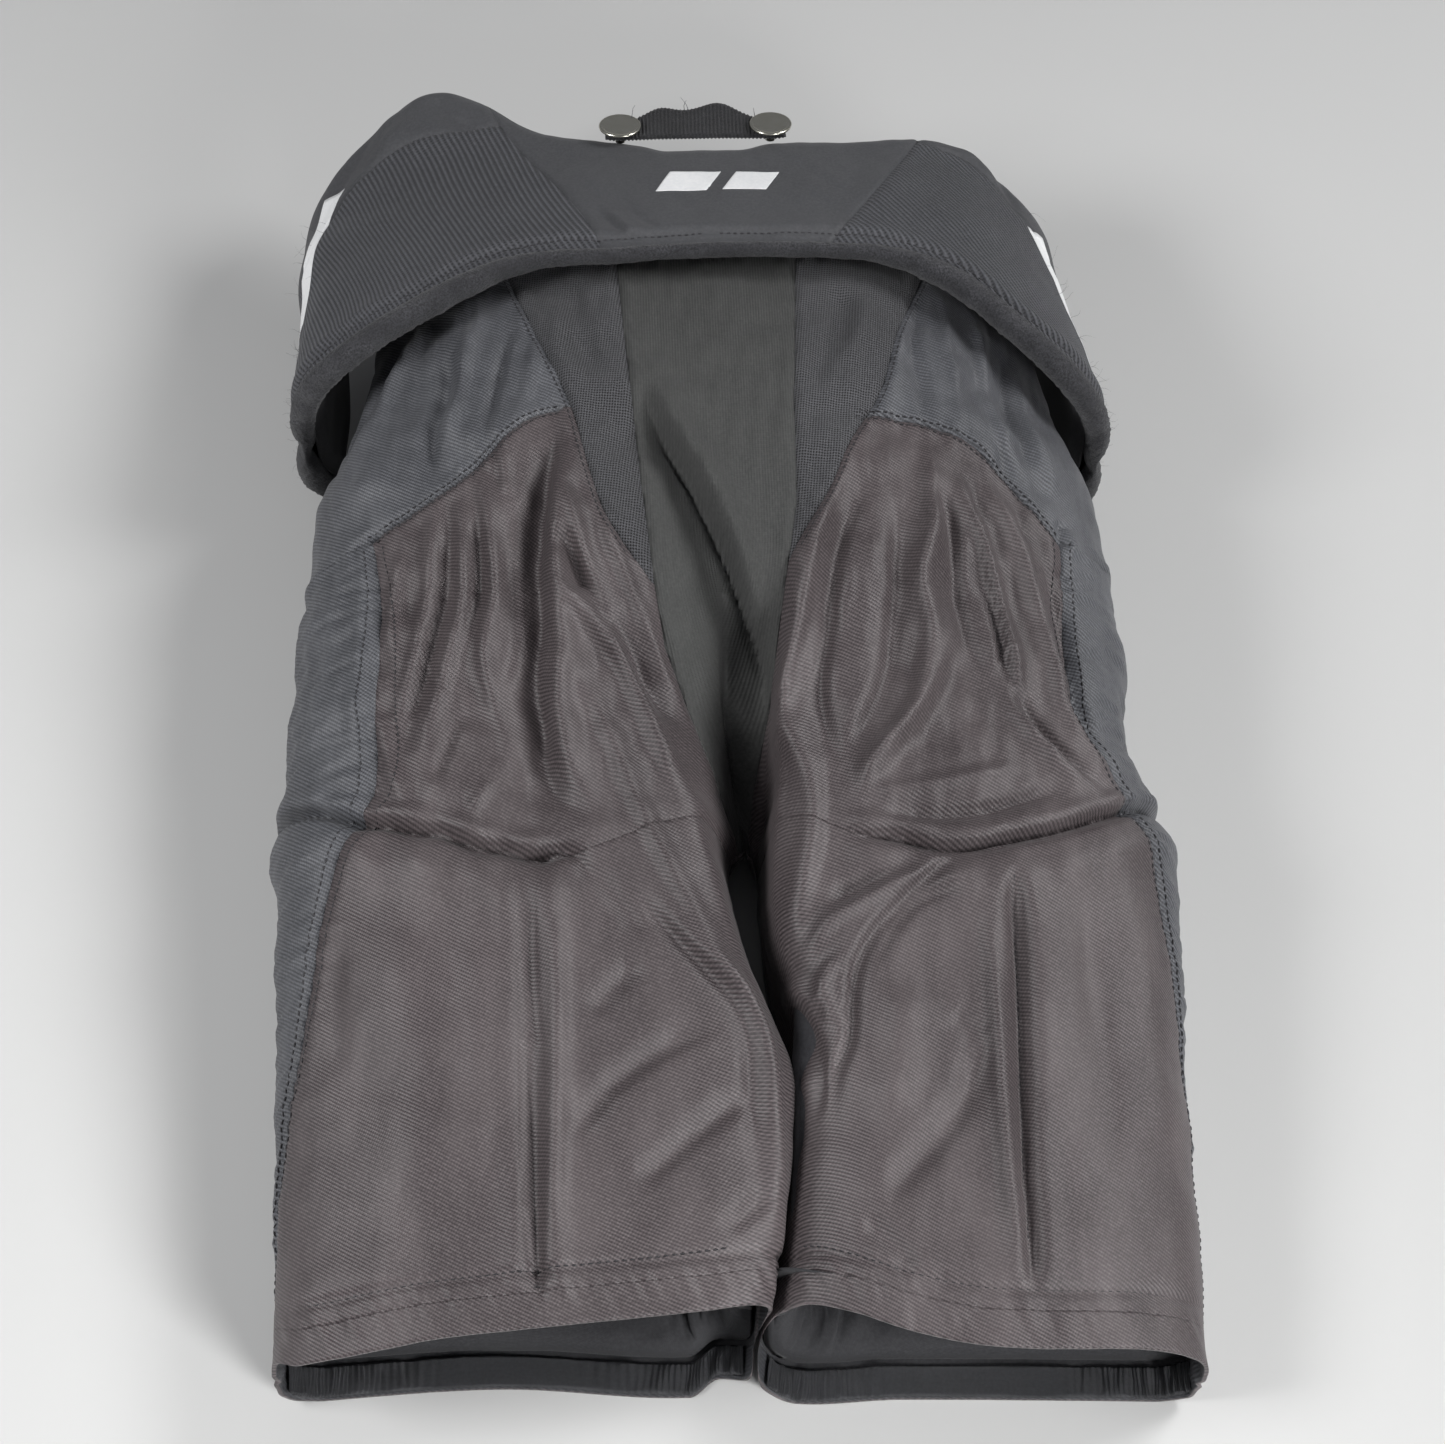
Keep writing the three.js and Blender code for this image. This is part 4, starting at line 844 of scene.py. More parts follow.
def make_materials():
    """Every material, by a short key."""
    grey = dict(base=(0.108, 0.111, 0.124), deep=(0.070, 0.072, 0.083), pale=(0.215, 0.22, 0.238))
    brown = dict(base=(0.098, 0.079, 0.083), deep=(0.060, 0.047, 0.050), pale=(0.215, 0.185, 0.188))
    return {
        "grey": twill("grey_twill", **grey, pitch=1.3, roughness=0.55, sheen=0.08, depth=0.14,
                      contrast=0.95),
        "brown": twill("brown_twill", **brown, pitch=1.2, roughness=0.51, sheen=0.08, depth=0.12,
                       contrast=0.95),
        "stretch": ribbed_knit("stretch_knit", (0.056, 0.057, 0.055), (0.038, 0.039, 0.038),
                               (0.095, 0.095, 0.092)),
        "mesh": holed_mesh("mesh_knit", (0.085, 0.085, 0.092), (0.055, 0.055, 0.060), (0.14, 0.14, 0.148)),
        "wing": slant_mesh("wing_mesh", (0.085, 0.087, 0.098), (0.055, 0.056, 0.064), (0.15, 0.15, 0.165)),
        "cover": smooth_cloth("guard_cloth", (0.066, 0.067, 0.072), (0.050, 0.051, 0.056),
                              (0.11, 0.11, 0.118)),
        "roll": fuzzy("brushed_edge", (0.028, 0.028, 0.033), (0.009, 0.009, 0.011), (0.065, 0.065, 0.073)),
        "lining": smooth_cloth("lining", (0.034, 0.034, 0.037), (0.020, 0.020, 0.023),
                               (0.06, 0.06, 0.065), 0.8),
        "foam": smooth_cloth("foam_cover", (0.05, 0.05, 0.056), (0.03, 0.03, 0.034), (0.09, 0.09, 0.1), 0.85),
        "webbing": twill("webbing", (0.02, 0.02, 0.022), (0.012, 0.012, 0.014), (0.06, 0.06, 0.065), angle=45,
                         pitch=1.6, roughness=0.7, contrast=0.6),
        "elastic": fuzzy("elastic", (0.011, 0.011, 0.013), (0.004, 0.004, 0.005), (0.035, 0.035, 0.04)),
        # a darker copy of the grey twill: painted shade for the inside of the hem
        "hem_inside_painted_shade": twill("hem_inside_painted_shade", (0.045, 0.046, 0.053), (0.028, 0.029, 0.034), (0.09, 0.092, 0.10),
                            pitch=1.3, roughness=0.6, sheen=0.05, depth=0.12, contrast=0.8),
        "thread": plain("thread", (0.020, 0.019, 0.022), 0.7, grain=0.01),
        "grey_thread": plain("grey_thread", (0.06, 0.06, 0.07), 0.8, grain=0.01),
        "print": plain("white_print", (0.80, 0.81, 0.82), 0.45, grain=0.02, sheen_and_wear=(0.88, 0.88, 0.88)),
        "nickel": plain("nickel", (0.66, 0.64, 0.55), 0.24, 1.0, grain=0.006, sheen_and_wear=(0.74, 0.72, 0.64),
                        scale=250.0),
        "plastic": plain("black_plastic", (0.020, 0.020, 0.022), 0.42, grain=0.02, scale=1200.0),
    }


# ---------------------------------------------------------------- the shell's panels

SKIN_ROWS, SKIN_COLUMNS = 300, 236


def relieved(side, y, share):
    """Final shell points and their base normals."""
    base = shell_point(side, y, share)
    n = side * normals_of(lambda a, b: shell_point(side, a, b), y, share)
    n[..., 0] *= smoothstep(share, 0, 0.05) * smoothstep(1 - share, 0, 0.05)  # the halves meet in the middle
    points = base + n * shell_relief(side, base)[..., None]
    points[..., 2] -= sink(base[..., 0], base[..., 1]) * smoothstep(base[..., 2], 30, 62)
    points[..., 0] += (LEAN(base[..., 1]) * np.exp(-(((base[..., 0] - 12) / 45) ** 2))
                       * smoothstep(base[..., 2], 22, 50))
    return points, n, base


OUTER_X = 72  # beyond it the side panels lie
GUSSET_END_Y, REAR_END_Y, UNDERSIDE_Z = 22, 110, 30
FAR = 50.0  # stands for a place that a border does not reach


def cross_line(side, x, z):
    """Where the seam over the thigh's block runs. It climbs to the joint on the underside."""
    return CROSS[side](x) + (JOINT_Y - CROSS[side](x)) * (1 - smoothstep(z, 10, 34))


def hem_line(x, z):
    """Where the hem band starts."""
    top = smoothstep(z, 10, 40)
    return BAND_Y - (BACK_HEM(x) * top + FRONT_HEM(x) * (1 - top)) * 0.95


def panel_of(side, p, share):
    """Which panel each point belongs to."""
    x, y, z = p.T
    out = side * x
    outer, on_top = out > OUTER_X, share < 0.5
    above_seam = z > SIDE[side](y)
    stretch = side * (x - STRETCH[side](y)) < 0
    gusset = side * (x - GUSSET[side](y)) < 0
    upper = y > cross_line(side, x, z)
    side_part = outer & (z > SIDE_LOW)
    name = np.full(len(y), "front_thigh_panel", dtype=object)
    name[~upper & np.where(outer, above_seam, z > INSEAM)] = "rear_thigh_panel"
    name[~upper & side_part & ~above_seam] = "side_panel"
    name[~upper & (y < hem_line(x, z))] = "hem_band"
    name[upper] = "front_upper_thigh"
    name[upper & (y > CREASE_Y)] = "front_yoke"
    name[upper & side_part & (y < CREASE_Y)] = "upper_side_panel"
    name[upper & side_part & (y > CREASE_Y)] = "hip_yoke"
    name[upper & ~on_top & (out < FRONT_GUSSET(y)) & (y < FLY_Y) & (z < UNDERSIDE_Z)] = "crotch_gusset"
    name[upper & on_top & ~outer] = "rear_upper_thigh"
    name[upper & on_top & outer & above_seam & (y < REAR_END_Y)] = "rear_upper_thigh"
    name[upper & on_top & (y > YOKE[side](x)) & ~gusset] = "hip_yoke"
    name[upper & on_top & gusset & (y > GUSSET_END_Y)] = "mesh_gusset"
    name[upper & on_top & stretch] = "stretch_panel"
    return name


def borders(side):
    """Functions of x, y, z and being on top, whose zero lines are the panels' borders."""
    def hole(at):
        return lambda x, y, z, top: np.where(~top, np.hypot(side * x - at[0], y - at[1]) - EYELET_HOLE, FAR)
    return [
        lambda x, y, z, top: np.where(top & (y > -60), x - STRETCH[side](y), FAR),
        lambda x, y, z, top: np.where(top & (y > 20), x - GUSSET[side](y), FAR),
        lambda x, y, z, top: np.where(top & (side * x > 38), y - YOKE[side](x), FAR),
        lambda x, y, z, top: y - cross_line(side, x, z),
        lambda x, y, z, top: y - hem_line(x, z),
        lambda x, y, z, top: np.where(side * x > OUTER_X, z - SIDE[side](y), FAR),
        lambda x, y, z, top: np.where(side * x > OUTER_X, z - SIDE_LOW, FAR),
        lambda x, y, z, top: np.where((side * x < OUTER_X) & (y < 0), z - INSEAM, FAR),
        lambda x, y, z, top: np.where(z < 60, y - CREASE_Y, FAR),
        lambda x, y, z, top: np.where(~top & (y > -70) & (y < 100), side * x - FRONT_GUSSET(y), FAR),
        lambda x, y, z, top: np.where(~top & (y > 80), side * x - FLY_HALF, FAR),
        lambda x, y, z, top: np.where(~top & (y > 80), y - FLY_Y, FAR),
    ] + [hole(at) for at in EYELETS]


PANELS = {  # panel: (material, slot)
    "stretch_panel": ("stretch", "stretch_knit"), "mesh_gusset": ("mesh", "mesh_knit"),
    "hip_yoke": ("grey", "grey_nylon"), "rear_upper_thigh": ("brown", "brown_nylon"),
    "upper_side_panel": ("grey", "grey_nylon"), "front_upper_thigh": ("grey", "grey_nylon"),
    "front_yoke": ("grey", "grey_nylon"), "crotch_gusset": ("stretch", "stretch_knit"),
    "rear_thigh_panel": ("brown", "brown_nylon"), "side_panel": ("grey", "grey_nylon"),
    "front_thigh_panel": ("grey", "grey_nylon"), "hem_band": ("brown", "brown_nylon"),
}
SHARED = {"stretch_panel": "seat_stretch_panel", "crotch_gusset": "crotch_gusset"}


def one_mesh(halves):
    """Joins two halves, each (outer, normals, weave, triangles, middle mask), along their middle vertices."""
    (points, n, weave, tri, middle), (points_2, n_2, weave_2, tri_2, middle_2) = halves
    here, there = np.flatnonzero(middle), np.flatnonzero(middle_2) + len(points)
    outer, normals = np.concatenate([points, points_2]), np.concatenate([n, n_2])
    match = there[np.abs(outer[here][:, None, 1] - outer[there][None, :, 1]).argmin(1)]
    near = np.linalg.norm(outer[here] - outer[match], axis=1) < 4
    here, match = here[near], match[near]
    for values in (outer, normals):
        values[here] = (values[here] + values[match]) / 2
    target = np.arange(len(outer))
    target[match] = here
    triangles = target[np.concatenate([tri, tri_2 + len(points)])]
    return outer, normals, np.concatenate([weave, weave_2]), triangles


def make_shell(side, materials, shared):
    """One half of the cloth shell, cut into its panels. Those that cross the middle are kept in shared."""
    cloth = half_grid(SKIN_ROWS, SKIN_COLUMNS)
    for border in borders(side):
        x, y, z = shell_point(side, cloth.y, cloth.share).T
        cloth.cut(np.clip(border(x, y, z, cloth.share < 0.5), -FAR, FAR))
    outer, normals, base = relieved(side, cloth.y, cloth.share)
    # cloth coordinates: round the body from its middle line, and along it
    drop = np.where(cloth.share < 0.5, (TOP(cloth.y) - base[:, 2]) * 0.8, 0)
    weave = np.stack([base[:, 0] + side * drop, base[:, 1], 0 * drop], axis=1)
    tri = cloth.triangles if side > 0 else cloth.triangles[:, ::-1]
    middle_share = cloth.share[tri].mean(1)
    middle = shell_point(side, cloth.y[tri].mean(1), middle_share)
    names = panel_of(side, middle, middle_share)
    bottom = middle_share > 0.5
    ax, ay = side * middle[:, 0], middle[:, 1]
    left_open = bottom & (ay > FLY_Y) & (ax < FLY_HALF)
    for hole_x, hole_y in EYELETS:
        left_open |= bottom & (np.hypot(ax - hole_x, ay - hole_y) < EYELET_HOLE)
    names[left_open] = ""
    for panel, (material, slot) in PANELS.items():
        chosen = tri[names == panel]
        if panel in SHARED:
            shared[panel].append((outer, normals, weave, chosen, cloth.share == (panel == "crotch_gusset")))
            continue
        name = f"{SIDE_NAME[side]}_{panel}"
        # the hem band's inside takes the darker copy of the twill, which is painted shade
        inner = materials["hem_inside_painted_shade" if panel == "hem_band" else "lining"]
        piece = thick_piece(name + "_skin", outer, normals, weave, chosen, materials[material], inner)
        settle(piece, side, name)


def make_shared_panels(shared, materials):
    """The panels that lie across the middle are one mesh each, and stay with the seat."""
    for panel, halves in shared.items():
        material, slot = PANELS[panel]
        piece = thick_piece(SHARED[panel] + "_skin", *one_mesh(halves), materials[material],
                            materials["lining"])
        settle(piece, "seat", SHARED[panel])


# ---------------------------------------------------------------- closed pads and bands over a surface

def slab_piece(name, surface, rows, columns, material, round_over=0.12):
    """A closed slab between surface(v, u, 1) and surface(v, u, 0), with its edges rounded over."""
    v, u = grid_of(rows, columns)
    edge = np.minimum(np.minimum(v, 1 - v), np.minimum(u, 1 - u))
    swell = np.sqrt(1 - (1 - np.clip(edge / round_over, 0, 1)) ** 2)
    sides = [surface(v, u, 0.5 + 0.5 * swell), surface(v, u, 0.5 - 0.5 * swell)]
    quads = grid_quads(rows, columns)
    vertices = np.concatenate([side.reshape(-1, 3) for side in sides])
    faces = quads.tolist() + (quads[:, ::-1] + rows * columns).tolist()
    weave = np.stack([u.ravel() * 100, v.ravel() * 100, 0 * u.ravel()], axis=1)
    piece = add_object(name, vertices, faces, material, np.tile(weave, (2, 1)))
    weld = piece.modifiers.new("weld", "WELD")
    weld.merge_threshold = 0.02 * MM
    bpy.context.view_layer.update()
    piece.data = bpy.data.meshes.new_from_object(piece.evaluated_get(bpy.context.evaluated_depsgraph_get()))
    piece.modifiers.clear()
    return outward(piece)


def outward(piece):
    """Turns the piece's faces out."""
    bpy.ops.object.select_all(action="DESELECT")
    bpy.context.view_layer.objects.active = piece
    piece.select_set(True)
    bpy.ops.object.mode_set(mode="EDIT")
    bpy.ops.mesh.select_all(action="SELECT")
    bpy.ops.mesh.normals_make_consistent(inside=False)
    bpy.ops.object.mode_set(mode="OBJECT")
    return piece


def either_side(y, share, depth):
    """Shell points for shares that are negative on the left half."""
    return np.where((share < 0)[..., None], shell_point(LEFT, y, np.abs(share), depth),
                    shell_point(RIGHT, y, np.abs(share), depth))


def shell_pad(name, side, y_range, share_range, depth_range, material, size=40):
    """A pad inside the shell. Shares are negative on the left half, where side is None."""
    def surface(v, u, lift):
        y, share, depth = between(y_range, v), between(share_range, u), between(depth_range[::-1], lift)
        quilt = 0.35 * waves(v * 60, u * 60, 20, 4) * lift
        if side is None:
            return either_side(y, share, depth - quilt)
        return shell_point(side, y, share, depth - quilt)
    return slab_piece(name, surface, size, size, material)


PAD_Y = (-228, -92)
REAR_DEPTH, FRONT_DEPTH, HIP_DEPTH, TAIL_DEPTH = (6.6, 12.6), (5.0, 12.0), (9.4, 15.6), (23.4, 29)
HIP_PLATE_DEPTH, TAIL_PLATE_DEPTH = (6.8, 9.2), (20.8, 23.2)
INNER_PAD, OUTER_PAD, FRONT_PAD = (0.05, 0.242), (0.268, 0.455), (0.56, 0.94)
HIP_PAD_Y, HIP_PAD = (-6, 122), (0.185, 0.56)
TAIL_PAD_Y, TAIL_PAD = (34, 106), (-0.075, 0.075)


def make_pads(materials):
    """Foam pads of the legs, hips and tailbone, and the plates over the last two."""
    foam, plastic = materials["foam"], materials["plastic"]
    for side in (RIGHT, LEFT):
        name = SIDE_NAME[side] + "_"
        for pad, share_range, depth in (("rear_inner_pad", INNER_PAD, REAR_DEPTH),
                                        ("rear_outer_pad", OUTER_PAD, REAR_DEPTH),
                                        ("thigh_guard_foam", FRONT_PAD, FRONT_DEPTH)):
            piece = shell_pad(name + pad + "_cushion", side, PAD_Y, share_range, depth, foam)
            settle(piece, side, name + pad)
        plate = shell_pad(name + "hip_shell_plate", side, HIP_PAD_Y, HIP_PAD, HIP_PLATE_DEPTH, plastic, 50)
        settle(plate, side, name + "hip_guard_plate")
        piece = shell_pad(name + "hip_cushion", side, HIP_PAD_Y, HIP_PAD, HIP_DEPTH, foam, 50)
        settle(piece, side, name + "hip_guard_foam")
    plate = shell_pad("tailbone_shell_plate", None, TAIL_PAD_Y, TAIL_PAD, TAIL_PLATE_DEPTH, plastic)
    settle(plate, "seat", "tailbone_guard_plate")
    piece = shell_pad("tailbone_cushion", None, TAIL_PAD_Y, TAIL_PAD, TAIL_DEPTH, foam)
    settle(piece, "seat", "tailbone_guard_foam")


LINING_MOUTH, LINING_DEEP, LINING_END = -236, -226, -84
LINING_SEAMS = {RIGHT: (0.12, 0.2, 0.33, 0.42, 0.62, 0.85), LEFT: (0.1, 0.19, 0.3, 0.4, 0.6, 0.88)}


def make_leg_lining(side, materials):
    """The lining closes the gap between the shell and its pads just inside the hem, and runs up the leg."""
    rows, columns = 60, 150
    v, u = grid_of(rows, columns)
    turn = np.clip(v / 0.2, 0, 1)
    y = np.where(v < 0.2, between((LINING_MOUTH, LINING_DEEP), turn ** 2),
                 LINING_DEEP + (LINING_END - LINING_DEEP) * (v - 0.2) / 0.8)
    depth = 1.9 + 11.3 * np.sqrt(turn)
    quilt = 0.5 * waves(u * 300, y, 17, 40 + side) + 0.4 * waves(u * 300, y, 7, 41)
    for seam in LINING_SEAMS[side]:
        quilt = quilt + groove((u - seam) * 380, 3.0, 1.8)
    points = shell_point(side, y, u, depth - quilt * turn)
    triangles = grid_triangles(rows, columns)
    if side > 0:
        triangles = triangles[:, ::-1]
    weave = np.stack([u.ravel() * 300, y.ravel(), 0 * y.ravel()], axis=1)
    normals = -side * normals_of(lambda p, q: shell_point(side, p, q, 10), y, u).reshape(-1, 3)
    piece = thick_piece(SIDE_NAME[side] + "_leg_lining", points.reshape(-1, 3), normals, weave, triangles,
                        materials["lining"], materials["lining"], 0.8)
    settle(piece, side, SIDE_NAME[side] + "_leg_liner")


TAPE_Y, TAPE_WIDTH, TAPE_LENGTH, TAPE_RIB = -249.6, 11, 190, 2.6


def make_hem_tape(side, materials):
    """The gathered edge that is sewn inside the front hem."""
    def tape(v, u, lift):
        y = TAPE_Y + TAPE_WIDTH * v
        share = 0.54 + 0.42 * u
        puckers = (0.55 * waves(u * TAPE_LENGTH, y * 0.3, 5.5, 45)
                   + 0.3 * np.sin(u * TAPE_LENGTH * 2 * np.pi / TAPE_RIB))
        return shell_point(side, y, share, 1.7 + (1 - lift) * 0.2 + lift * (1.7 + puckers))
    # the tape takes the darker copy of the twill that paints the shade inside the hem
    piece = slab_piece(SIDE_NAME[side] + "_hem_tape", tape, 14, 320, materials["hem_inside_painted_shade"], 0.2)
    settle(piece, side)


BELT_Y, BELT_DEPTH, BELT_END, BELT_RIB = (202, 226), (-2.7, -1.3), 0.998, 2.0
TONGUE_Y, TONGUE_SHARE, TONGUE_DEPTH = (84, 229), 0.986, (3.6, 5.0)


def make_belt_and_tongue(materials):
    """The waist belt, open at the buckle, and the tongue behind the fly."""
    def belt(v, u, lift):
        rib = 0.12 * np.sin(v * (BELT_Y[1] - BELT_Y[0]) * 2 * np.pi / BELT_RIB) * lift
        return either_side(between(BELT_Y, v), (2 * u - 1) * BELT_END, between(BELT_DEPTH[::-1], lift) - rib)
    piece = slab_piece("waist_webbing", belt, 40, 260, materials["webbing"], 0.04)
    settle(piece, "seat", "waist_belt")

    def tongue(v, u, lift):
        share = 1 - (1 - TONGUE_SHARE) * np.abs(2 * u - 1)
        signed = np.where(u < 0.5, -share, share)
        return either_side(between(TONGUE_Y, v), signed, between(TONGUE_DEPTH[::-1], lift))
    piece = slab_piece("fly_tongue_cloth", tongue, 60, 40, materials["lining"], 0.04)
    settle(piece, "seat", "fly_tongue")


# ---------------------------------------------------------------- kidney guard

GUARD_THICKNESS, GUARD_SIDE_END = 12.7, 30
COVER_THICKNESS, GUARD_LINING_THICKNESS = 0.9, 0.8
KIDNEY_SHARE, KIDNEY_ABOVE_EDGE, KIDNEY_HEIGHT = (0.28, 0.9), 10, 62
SPINE_SHARE, SPINE_Y = 0.1, (170, 220)
# The binding of a wing's waist edge starts at this x, and counts as that far off before it.
BINDING_X, OFF_BINDING = 66, -9
# By share, 0 in the middle and 1 at a wing's end: y of the free edge and of the waist edge.
GUARD_LOW = per_side(
    [(0, 161), (0.1, 161), (0.2, 160), (0.3, 151), (0.41, 131), (0.5, 121), (0.62, 114), (0.8, 113),
     (1, 122)],
    [(0, 161), (0.09, 159), (0.15, 160), (0.22, 158), (0.28, 152), (0.38, 141), (0.5, 132), (0.62, 128),
     (0.8, 128), (1, 136)])
GUARD_HIGH = per_side(
    [(0, 226.5), (0.035, 226.5), (0.06, 230), (0.1, 232), (0.2, 234), (0.3, 238), (0.37, 240), (0.44, 238),
     (0.5, 230), (0.6, 216), (0.75, 198), (1, 170)],
    [(0, 226.5), (0.035, 226.5), (0.06, 230), (0.1, 233), (0.2, 240), (0.27, 249), (0.34, 262), (0.4, 269),
     (0.46, 266), (0.55, 250), (0.7, 230), (0.85, 214), (1, 196)])
GUARD_FLARE = per_side(
    [(95, -4), (120, -4), (159, -3), (190, 2), (211, 10), (240, 18)],
    [(116, 1), (140, 4), (171, 10), (200, 21), (225, 31), (248, 37), (270, 40)])
GUARD_RAISED = {LEFT: 12, RIGHT: 6}
# The guard lies this far off the shell where it is loose, and that much closer at the waist.
GUARD_STANDOFF, GUARD_CLOSER, GUARD_LOOSE_Y = 9, 6.5, 120
GUARD_FLARE_SHARE, GUARD_WRAP = (0.15, 0.6), 1.2
GUARD_SEAM = per_side(
    [(155, 46), (163, 50), (194, 67), (232, 86), (270, 106)],
    [(155, -38), (163, -39), (181, -45), (205, -56), (241, -74), (270, -86)])
BINDING = per_side(
    [(70, 246), (85, 237), (97, 232), (105, 229), (112, 222), (119, 214), (125, 203), (132, 192), (140, 176),
     (150, 150)],
    [(-170, 158), (-163, 168), (-156, 185), (-147, 203), (-138, 217), (-128, 229), (-115, 238), (-100, 242),
     (-86, 243), (-70, 246)])


def guard_point(side, y, share, depth):
    """Points of one half of the kidney guard, share 0 in the middle and 1 at the wing's end."""
    near_waist = np.clip((y - GUARD_LOOSE_Y) / (WAIST - GUARD_LOOSE_Y), 0, 1)
    standoff = GUARD_STANDOFF - GUARD_CLOSER * near_waist * (1 - share**2)
    out = standoff + GUARD_THICKNESS - depth
    flare = GUARD_FLARE[side](y) * smoothstep(share, *GUARD_FLARE_SHARE)
    middle, low = MIDDLE(y), LOW(y)
    turn = np.pi / 2 + GUARD_WRAP * np.arcsin((middle - GUARD_SIDE_END) / (middle - low + out))
    angle = np.pi / 2 - share * turn
    up = angle > 0
    raised = GUARD_RAISED[side] * smoothstep(y, 205, 262) * bump_at(share - 0.42, 1, 0.13)
    rise = np.where(up, TOP(y) - middle, middle - low + FLATTENED) + out + raised
    corner = np.where(up, CORNER_TOP, CORNER_LOW)
    x = (HALF_WIDTH(y) + out + flare) * power(np.cos(angle), corner)
    z = middle + rise * power(np.sin(angle), corner)
    return np.stack([side * x + SHIFT(y) * (1 - x / 170), y, z], axis=-1)


def guard_either_side(y, share, depth):
    """Guard points for shares that are negative on the left half."""
    return np.where((share < 0)[..., None], guard_point(LEFT, y, np.abs(share), depth),
                    guard_point(RIGHT, y, np.abs(share), depth))


def guard_half_thickness(side, y, share):
    """Padding, thin at the waist edge and the wing's end."""
    low, high = GUARD_LOW[side](share), GUARD_HIGH[side](share)
    rim = np.minimum(high - y, (1 - share) * 170)
    soft = np.sqrt(np.clip(1 - (1 - np.clip(rim / 8, 0, 1)) ** 2, 0, 1))
    tuck = 0.55 + 0.45 * smoothstep(y - low, 0, 9)
    return GUARD_THICKNESS / 2 * soft * tuck


GUARD_FOLDS = [
    ([(-40, 186), (-34, 174), (-27, 164)], -1.3, 1.6, 2.4),
    ([(-29, 186), (-23, 176), (-16, 167)], -0.9, 1.6, 2.2), ([(-34, 182), (-29, 171), (-22, 164)], 0.9, 2, 2),
    ([(-104, 264), (-96, 250), (-84, 243)], -1.6, 2.5, 4),
    ([(-122, 262), (-136, 236), (-150, 205)], -1.2, 3, 4),
    ([(-112, 256), (-124, 236), (-140, 208)], 1.4, 5, 4),
    ([(-60, 215), (-90, 205), (-120, 180)], 1.6, 14, 16),
    ([(112, 236), (120, 222), (126, 200)], -1.3, 2.4, 3), ([(104, 238), (112, 228), (118, 216)], 1.0, 3, 3),
    ([(60, 205), (92, 195), (116, 165)], 1.5, 14, 15),
]


def guard_relief(side, p, share):
    """How far the guard's outside stands out: folds, seams and the stitched edge."""
    x, y = p[..., 0], p[..., 1]
    out = np.zeros(np.shape(x))
    for line, height, left, right in GUARD_FOLDS:
        out += fold(x, y, line, height, left, right)
    seam = x - GUARD_SEAM[side](y)
    out += groove(seam, 0.9, 1.1)
    edge = y - BINDING[side](x)
    out += np.where(side * seam > 0, groove(edge, 0.7, 1.2), 0)
    low = y - GUARD_LOW[side](share)
    out += groove(low - 4.5, 0.7, 0.9) + bump_at(low - 8, 0.5, 4)
    return out + (0.35 * waves(x, y, 30, 51) + 0.1 * waves(x, y, 9, 52))


def guard_outer(side, y, share, lift=0.0):
    """The guard's outer face, or points that far above it."""
    mid = guard_point(side, y, share, GUARD_THICKNESS / 2)
    relief = guard_relief(side, mid, share)
    half = guard_half_thickness(side, y, share)
    fade = np.clip(half / 3, 0, 1)
    return guard_point(side, y, share, GUARD_THICKNESS / 2 - half - relief * fade - lift)


def guard_inner(side, y, share):
    half = guard_half_thickness(side, y, share)
    quilt = 0.5 * waves(share * 200, y, 22, 61)
    return guard_point(side, y, share, GUARD_THICKNESS / 2 + half * (0.97 + 0.05 * quilt))


GUARD_ROWS, GUARD_COLUMNS = 110, 230


def guard_grid(side):
    """Rows from the free edge to the waist edge, columns from the middle to the wing's end."""
    fine = np.linspace(0, 1, 600)
    middle_y = (GUARD_LOW[side](fine) + GUARD_HIGH[side](fine)) / 2
    p = guard_point(side, middle_y, fine, 0)
    passed = passed_along(p)
    spread = np.interp(np.linspace(0, passed[-1], GUARD_COLUMNS), passed, fine)
    v, share = np.meshgrid(np.linspace(0, 1, GUARD_ROWS), spread, indexing="ij")
    y = between((GUARD_LOW[side](share), GUARD_HIGH[side](share)), v)
    cloth = Cloth(y.ravel(), share.ravel(), grid_triangles(GUARD_ROWS, GUARD_COLUMNS))
    return cloth, lambda share_now: np.interp(share_now, fine, passed)


